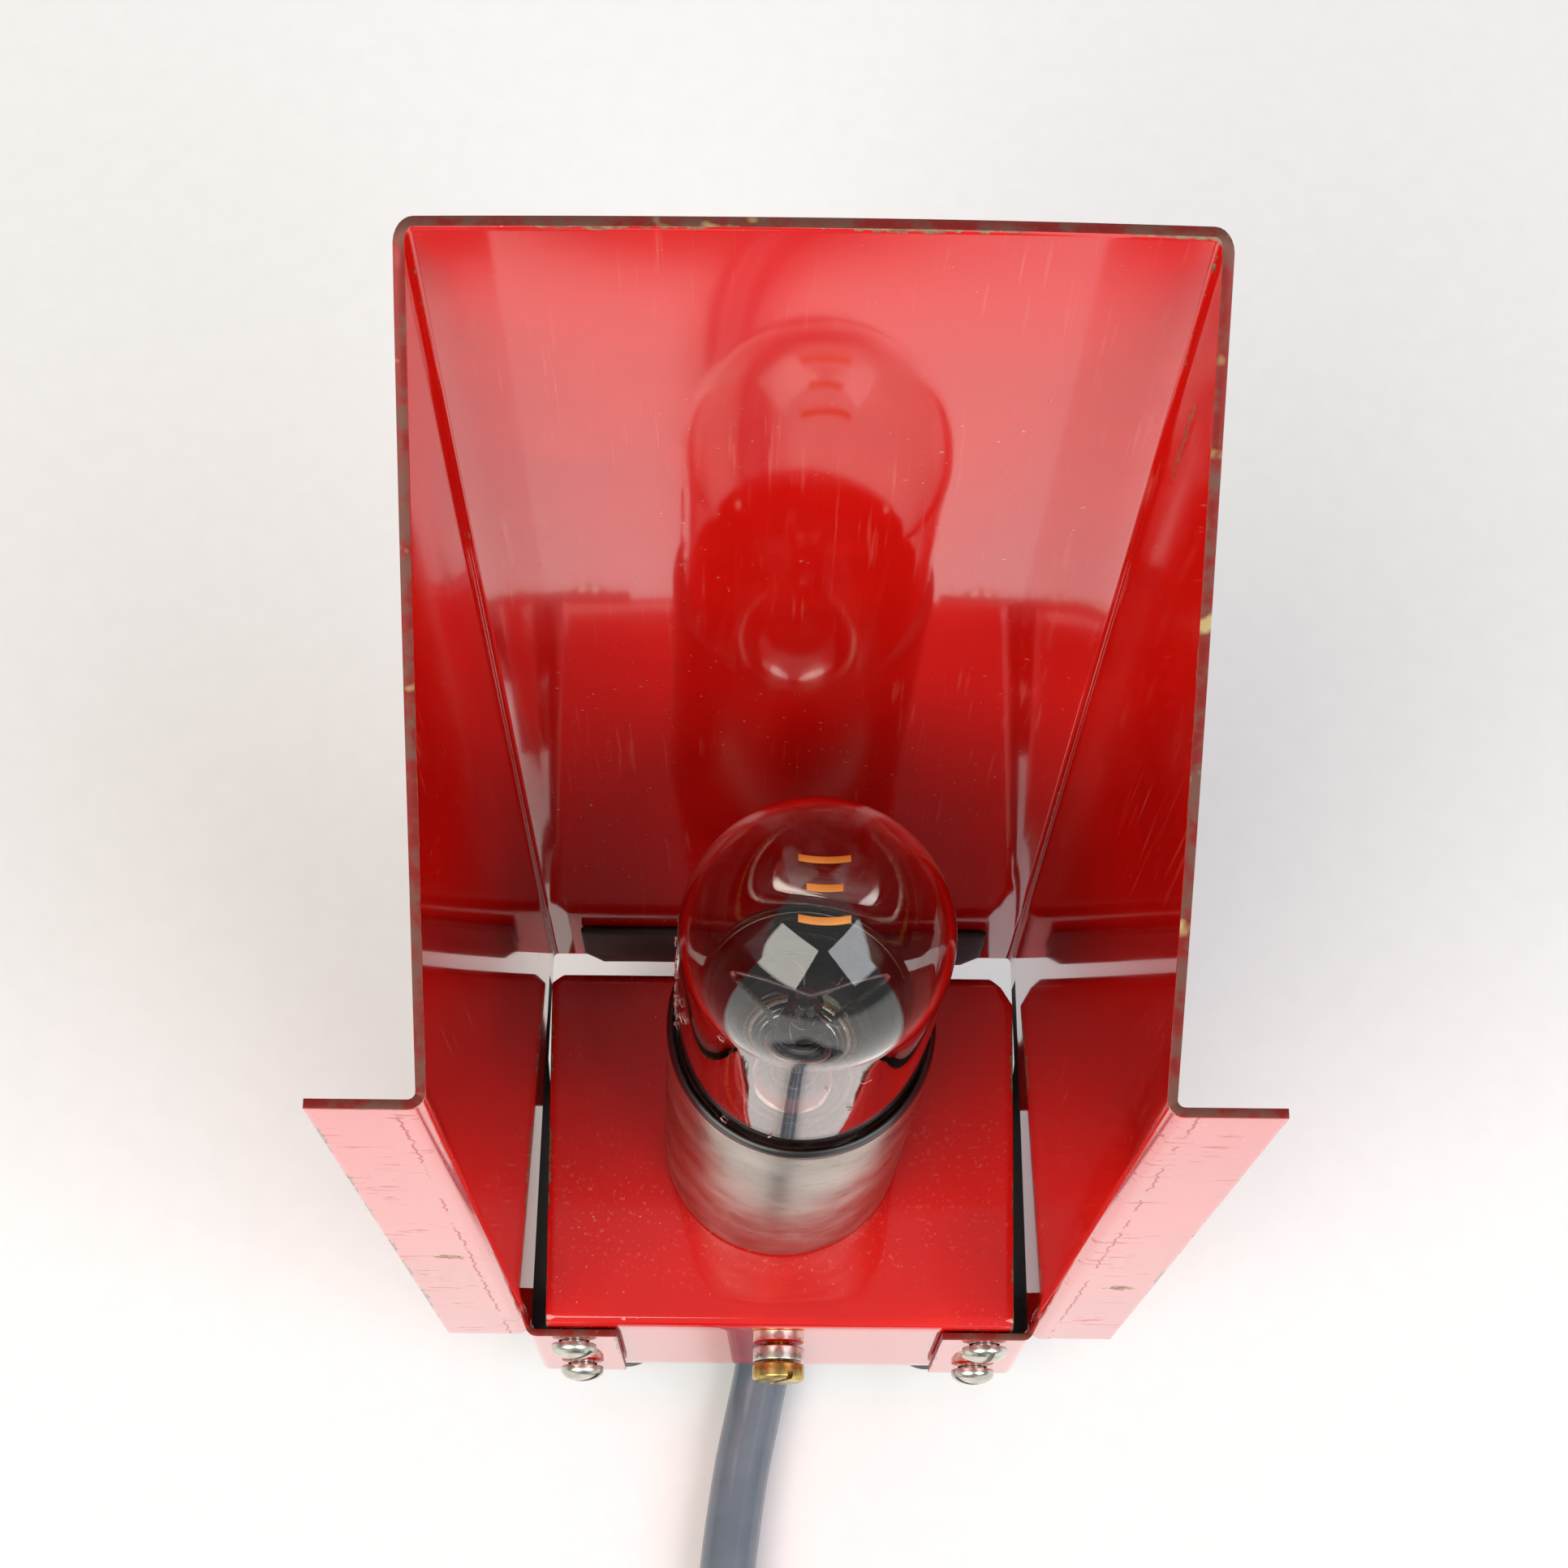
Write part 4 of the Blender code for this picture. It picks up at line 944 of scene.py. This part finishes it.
def addHolder():
    up = holderPlace
    turnedPiece("holder_sleeve", [(13.7, 50.5, 0.15), (14.0, 1.0, 0.3), (13.8, 0.75, 0.1), (13.2, 0.75, 0.1),
                                  (13.0, 50.5, 0.15)], satinSteel, up, 0.1, 128, closed=True)
    low = 50.8
    turnedPiece("holder_ring", [(13.25, low + 1.5), (13.55, low + 1.3), (13.72, low + 0.8), (13.72, low),
                                (13.02, low), (13.02, low + 1.3)], phenolic, up, 0.12, 128, closed=True)
    turnedPiece("holder_insulator", [(8.9, 16, 0.3), (12.6, 14.6, 0.5), (12.7, 1.3, 0.3), (5.3, 1.3, 0.2),
                                     (5.3, 6.4, 0.2), (4.3, 6.4, 0.2), (4.3, 11.4, 0.2), (1.55, 11.4, 0.1),
                                     (1.55, 16, 0.2)], porcelain, up, 0.3, 64, closed=True)
    shell = [(7.9, 35, 0.2), (7.9, 17, 0.3), (8.8, 17, 0.1), (8.8, 16.3, 0.1), (7.3, 16.3, 0.3)]
    for k in range(6):  # rolled thread inside the shell
        z = 17.6 + k * 2.822
        shell += [(7.3, z, 0.4), (7.75, z + 1.4, 0.5)]
    outer = [(r + 0.6 if 7.2 < r < 7.8 else r, z, a) for r, z, a in shell[5:]]
    profile = [(8.8, 17.0, 0.1), (8.8, 16.3, 0.1), (7.3, 16.3, 0.3)] + shell[5:] + [(7.3, 35, 0.15)] \
        + [(7.85, 35, 0.15)] + [(min(r, 7.9), z, a) for r, z, a in reversed(outer)] + [(7.9, 17.0, 0.3)]
    turnedPiece("threaded_shell", profile, brass, up, 0.2, 72, closed=True)
    turnedPiece("shell_insulator", [(9.9, 36.4), (10.4, 17.4), (9.2, 17.4), (8.25, 18.2), (8.25, 36.4)],
                phenolic, up, 0.25, 64, closed=True)
    ribs = [(3.7, 6.0, 0.2), (3.7, -9.0, 0.2), (4.6, -9.0, 0.3)]
    for k in range(14):
        z = -8.6 + k
        ribs += [(4.62, z, 0), (5.0, z + 0.42, 0), (5.0, z + 0.5, 0), (4.62, z + 0.9, 0)]
    ribs += [(4.7, 6.0, 0.2)]
    turnedPiece("nipple", ribs, zinc, up, 0.0, 64, closed=True)
    addNut("lock_nut", 0, 0, 0, zinc, flats=14.0, thick=3.0, bore=5.3,
           matrix=up @ shifted(0, 0, -2.9))
    turnedPiece("centre_contact", [(0, 18.7, 0), (1.7, 18.7, 0.4), (2.3, 18.2, 0.2), (2.3, 17.1, 0.2),
                                   (1.2, 17.1, 0.1), (1.2, 12.3, 0.3), (0, 12.3, 0)], brass, up, 0.3, 40,
                body="contact")


lampSizes = {"foot": 19.0, "outer": 12.75, "wall": 0.7, "domeFrom": 63.0, "domeHigh": 1.04, "pitch": 2.822,
             "crest": 6.92, "root": 6.32}


def glassProfile(inset):
    s = lampSizes
    line = [(5.7 - inset, 13.0 + inset * 0.5), (5.7 - inset, 17.8), (6.4 - inset, 18.8 + inset * 0.4),
            (8.0 - inset, 19.9 + inset * 0.6), (10.6 - inset, 22.2 + inset * 0.4),
            (12.3 - inset, 25.0 + inset * 0.3), (s["outer"] - inset, 28.5)]
    neck = [(p.y, p.z) for p in smoothPath([(0, *p) for p in line], 0.45)]
    wall = [(s["outer"] - inset, 28.5 + k * (s["domeFrom"] - 28.5) / 12) for k in range(1, 13)]
    dome = [(x, s["domeFrom"] + y * s["domeHigh"]) for x, y in circle(s["outer"] - inset, 104)[1:27]]
    dome[-1] = (0.0, dome[-1][1])
    return neck + wall + dome


def addLamp():
    s = lampSizes
    at = holderPlace @ shifted(0, 0, s["foot"])
    bm = bmesh.new()
    for inset in (0.0, s["wall"]):
        revolve(bm, glassProfile(inset), 112)
    bm.faces.ensure_lookup_table()
    bmesh.ops.bridge_loops(bm, edges=[e for e in bm.edges if e.is_boundary])
    for vert in bm.verts:  # blown glass is never quite round
        push = noise.noise(vert.co * 70 + Vector((3, 1, 2))) * 0.05 * ease((vert.co.z / mm - 24) / 8)
        radial = Vector((vert.co.x, vert.co.y, 0))
        if radial.length > 1e-6:
            vert.co += radial.normalized() * push * mm * min(1.0, radial.length / mm / 6)
    finishPiece("lamp_glass_blown", toMesh("lamp_glass", bm, at), [glass], "lamp", ["lamp_glass"],
                sharp=60)

    # cap: a rolled sheet thread, helical, between a plain skirt and a turned-in foot
    steps, foot = 72, 3.5
    rows = []
    bm = bmesh.new()
    for z in [foot + 14.6 * k / 96 for k in range(97)]:
        fade = ease((z - 3.9) / 1.2) * ease((15.6 - z) / 1.4)
        row = []
        for k, (x, y) in enumerate(circle(1, steps)):
            wave = 0.5 - 0.5 * math.cos(2 * math.pi * ((z - 4.3) / s["pitch"] - k / steps))
            r = (s["crest"] - 0.2) * (1 - fade) + (s["root"] + (s["crest"] - s["root"]) * wave ** 0.8) * fade
            r -= 0.5 * (1 - ease((z - foot) / 0.5))
            row.append(bm.verts.new(Vector((r * x, r * y, z)) * mm))
        rows.append(row)
    for r, z in ((6.35, 18.1), (6.05, 17.8), (6.02, 10.0), (6.0, 3.8), (6.1, foot)):
        rows.append([bm.verts.new(Vector((x, y, z)) * mm) for x, y in circle(r, steps)])
    skin(bm, rows + rows[:1], True)
    finishPiece("lamp_cap_rolled", toMesh("lamp_cap", bm, at), [nickel], "lamp", ["lamp_cap"],
                sharp=50)

    turnedPiece("lamp_end_contact", [(0, 1.1, 0), (2.2, 1.1, 0.1), (2.2, 0.4, 0.2), (1.6, 0, 0.4), (0, 0, 0)],
                brass, at, 0.2, 40, body="lamp")
    turnedPiece("lamp_vitrite", [(0, 3.2, 0), (5.4, 3.2, 0.2), (5.6, 2.6, 0.3), (2.9, 1.4, 0.3), (0, 1.4, 0)],
                phenolic, at, 0.2, 56, body="lamp")
    stem = [(0, 42.0, 0), (1.3, 41.6, 0.3), (1.9, 40.4, 0.5), (1.4, 39.0, 0.4), (1.3, 33, 2), (2.7, 31, 1.5),
            (2.9, 27.5, 1), (3.0, 20, 2), (4.4, 14.2, 1), (4.4, 13.6, 0.2), (0, 13.6, 0)]
    turnedPiece("lamp_stem", stem, glass, at, 0.3, 64, body="lamp", arcSteps=5)
    for side, word in ((-1, "left"), (1, "right")):
        path = smoothPath([(side * x, 0, z) for x, z in (
            (3.35, 30.5), (3.9, 36), (6.2, 44), (7.55, 49.6), (7.6, 50.2))], 0.8)
        wire(f"lamp_lead_{word}", [at @ (p * mm) for p in path], 0.3, nickel)
    coil = []
    for k in range(1201):
        share = 2 * k / 1200 - 1
        centre = Vector((7.45 * share, -2.2 * math.sin(math.pi * (share + 1) / 2),
                         50.9 + 2.2 * abs(math.sin(math.pi * (share + 1)))))
        a = k * 0.62
        coil.append(at @ ((centre + Vector((0, math.cos(a), math.sin(a))) * 0.17) * mm))
    wire("lamp_filament", coil, 0.045, tungsten, 5)
    hook = smoothPath([(0, 0, 42.4), (0, -1.0, 46), (0, -1.7, 49.7), (0, -2.1, 50.6)], 0.6)
    wire("lamp_support", [at @ (p * mm) for p in hook], 0.16, tungsten)
    addInk(at)
    addBead(at)
    addLint(at)


def wire(name, path, radius, mat, sides=10, body="lamp"):
    bm = bmesh.new()
    sweep(bm, path, circle(radius, sides))
    finishPiece(name + "_wire", toMesh(name, bm), [mat], body, [name], sharp=60)


def addBead(at):
    # short anchor wires that sit in the glass bead
    bm = bmesh.new()
    for k in range(5):
        a = 2 * math.pi * k / 5 + 0.4
        path = smoothPath([(r * math.cos(a + more), r * math.sin(a + more), z)
                           for r, more, z in ((1.5, 0, 40.4), (3.2, 0, 41.0), (4.6, 0.2, 40.6))], 0.7)
        sweep(bm, [at @ (p * mm) for p in path], circle(0.11, 6))
    finishPiece("lamp_anchor_wires", toMesh("lamp_anchor_wires", bm), [tungsten], "lamp")


def addInk(at):
    # three short plain bars fired on the crown of the glass
    s = lampSizes
    reach = s["outer"] + 0.06
    bm = bmesh.new()
    for middle, wide in ((-2.7, 4.6), (0.2, 3.2), (2.9, 4.6)):
        grid = []
        for i in range(13):
            x = (i / 12 - 0.5) * wide
            line = []
            for j in range(3):
                y = middle + (j - 1) * 0.34 + 0.06 * x * x
                high = s["domeFrom"] + s["domeHigh"] * math.sqrt(reach ** 2 - x * x - y * y)
                line.append(bm.verts.new(Vector((x, y, high)) * mm))
            grid.append(line)
        skin(bm, grid)
    piece = finishPiece("fired_bars", toMesh("fired_bars", bm, at), [ink, ink], "lamp")
    thicken(piece, 0.04)


def addLint(at):
    # fibres and crumbs caught on the glass, thickest low on the left
    draw = random.Random(11)
    outer = lampSizes["outer"]
    bm = bmesh.new()
    for k in range(64):
        low = k < 46
        turn = draw.gauss(math.pi * 1.02, 0.12) if low else draw.uniform(0, 2 * math.pi)
        high = draw.gauss(46, 8) if low else draw.uniform(30, 62)
        line = []
        heading, step = draw.uniform(0, 2 * math.pi), draw.uniform(0.1, 0.3)
        for j in range(5):
            r = outer + 0.1 + 0.12 * math.sin(j * math.pi / 4) * draw.random()
            line.append(at @ (Vector((r * math.cos(turn), r * math.sin(turn), min(high, 62.5))) * mm))
            heading += draw.uniform(-0.9, 0.9)
            turn += step * math.cos(heading) / outer
            high += step * math.sin(heading)
        thick = draw.uniform(0.03, 0.09)
        sweep(bm, line, [(thick * math.cos(a), thick * math.sin(a)) for a in (0.2, 1.5, 2.7, 3.9, 5.2)])
    finishPiece("glass_lint", toMesh("glass_lint", bm), [lint], "lamp")


def addRelief():
    # ribbed sleeve round the cord
    c = cordSizes
    inside, out = Vector(c["bootIn"]), Vector(c["bootOut"])
    length = (inside - out).length
    where = aimed(out * mm, inside - out)
    corners = [(3.75, 0.0, 0.1), (4.05, 0.3, 0.2)]
    for k in range(6):
        z = 1.6 + k * (length - 10) / 6
        r = 4.15 + 0.75 * k / 6
        corners += [(r, z, 0.1), (r, z + 1.4, 0.1), (r - 0.4, z + 1.5, 0.1), (r - 0.35, z + 2.1, 0.1)]
    corners += [(4.9, length - 7, 0.2), (5.6, length - 6, 0.3), (5.6, length - 1, 0.2), (5.2, length, 0.2),
                (0, length, 0)]
    turnedPiece("strain_relief", [(0, 0, 0)] + corners, plugPvc, where, 0.15, 56)


def addClamp():
    # zinc-plated P clamp: a ring round the sleeve and a strap up to the middle screw
    c = cordSizes
    inside, out = Vector(c["bootIn"]), Vector(c["bootOut"])
    run = out - inside
    seat = out - run * 0.66
    strapY, holeZ = -20.02, traySizes["middleZ"]
    bm = bmesh.new()
    revolve(bm, rounded([(5.78, -3.5), (6.7, -3.5), (6.7, 3.5), (5.78, 3.5)], 0.25, 3), 72, True)
    bm.transform(aimed(seat * mm, run))
    shelf = seat.z + 5.9
    arm = rounded([(strapY, 30.0, 0), (strapY, shelf, 1.4), (seat.y - 1.5, shelf, 0)], 1.4, 6, closed=False)
    path = []
    for p, q in zip(arm, arm[1:]):
        count = max(1, round((q - p).length / 1.5))
        path += [p.lerp(q, k / count) for k in range(count)]
    path.append(arm[-1])
    rows = []
    for i, p in enumerate(path):
        ahead = (path[min(i + 1, len(path) - 1)] - path[max(i - 1, 0)]).normalized()
        side = Vector((-ahead.y, ahead.x)) * 0.5
        half = 4.0 - 0.9 * ease(1 - i / 3)
        section = rounded([(-half, -0.5), (half, -0.5), (half, 0.5), (-half, 0.5)], 0.15, 2)
        rows.append([bm.verts.new(Vector((u, p.x + side.x * 2 * v, p.y + side.y * 2 * v)) * mm)
                     for u, v in section])
    skin(bm, rows, True)
    bm.faces.new(rows[0])
    bm.faces.new(rows[-1])
    clamp = finishPiece("strap_clamp", toMesh("cord_clamp", bm), [zinc], "head", ["cord_clamp"])
    cut(clamp, rodCutter(alongY(0, strapY, holeZ), hoodSizes["hole"], 4))


def addCores():
    start = Vector(cordSizes["bootIn"]) + Vector((0, 0.7, 0.12))
    foot = Vector((0, 0.55, 31.0))
    for name, mat, slotName, shift, x in (("core_live", brownCore, "brown_core", -2.2, -1.75),
                                          ("core_neutral", blueCore, "blue_core", 2.2, 1.75)):
        begin = start + Vector((shift, 0, 0))
        path = smoothPath([begin, begin + Vector((0, 3.2, 3.4)), (x * 1.3, 13.5, 25), (x * 1.1, 6.0, 27.4),
                           foot + Vector((x - 0.2, -0.3, -0.5)), foot + Vector((x, 0, 7)),
                           foot + Vector((x + 0.45, 0, 18))], 0.9)
        wire(name, [p * mm for p in path], 1.0, mat, 20, "head")


addHood()
addTray()
addSeal()
addFeet()
addFixings()
print("sheet metal and fixings made")
addHolder()
addLamp()
addRelief()
addClamp()
addCores()
print("holder and lamp made")


lighting = {"skyStrength": 0.36, "keyPower": 25, "fillPower": 18}


def addFloor():
    # pale matt laminate: a barely visible fine grain, and shadows with soft edges
    mat, tree, shader = newMaterial("paleMattLaminate", Roughness=0.6)
    cloud = mapRange(tree, grain(tree, 4, 3), 0.35, 0.65)
    feed(shader, Base_Color=mixColour(tree, cloud, srgb("#f6f5f3"), srgb("#f4f3f1")))
    bm = bmesh.new()
    sweepUp = [(1.2 + x, 0.9 - y) for y, x in circle(0.9, 64)[1:17]]
    profile = [(-2.4, 0.0), (1.2, 0.0)] + sweepUp + [(2.1, 2.4)]
    rows = [[bm.verts.new((x, y, z)) for x in (-2.6, 2.6)] for y, z in profile]
    skin(bm, rows)
    mesh = bpy.data.meshes.new("floor")
    bm.to_mesh(mesh)
    bm.free()
    mesh.materials.append(mat)
    mesh.shade_smooth()
    addObject("floor", mesh)


def addLight(name, at, target, size, power, colour):
    data = bpy.data.lights.new(name, "AREA")
    data.shape, data.size, data.size_y, data.energy = "RECTANGLE", size[0], size[1], power
    data.color = srgb(colour)[:3]
    light = addObject(name, data)
    light.location = at
    light.rotation_euler = (Vector(target) - Vector(at)).to_track_quat("-Z", "Y").to_euler()


def addLights():
    world = bpy.data.worlds.new("softRoom")
    world.use_nodes = True
    sky = world.node_tree.nodes["Background"]
    sky.inputs["Color"].default_value = srgb("#f6f7f9")
    sky.inputs["Strength"].default_value = lighting["skyStrength"]
    bpy.context.scene.world = world
    addLight("keySoftbox", (-0.8, -1.0, 1.35), (0, 0, 0.05), (1.3, 1.3), lighting["keyPower"], "#fffaf2")
    addLight("fillSoftbox", (0.95, -0.8, 1.25), (0, 0, 0.05), (1.2, 1.2), lighting["fillPower"], "#f4f8ff")


addFloor()
addLights()
bpy.context.scene.view_settings.view_transform = "Standard"
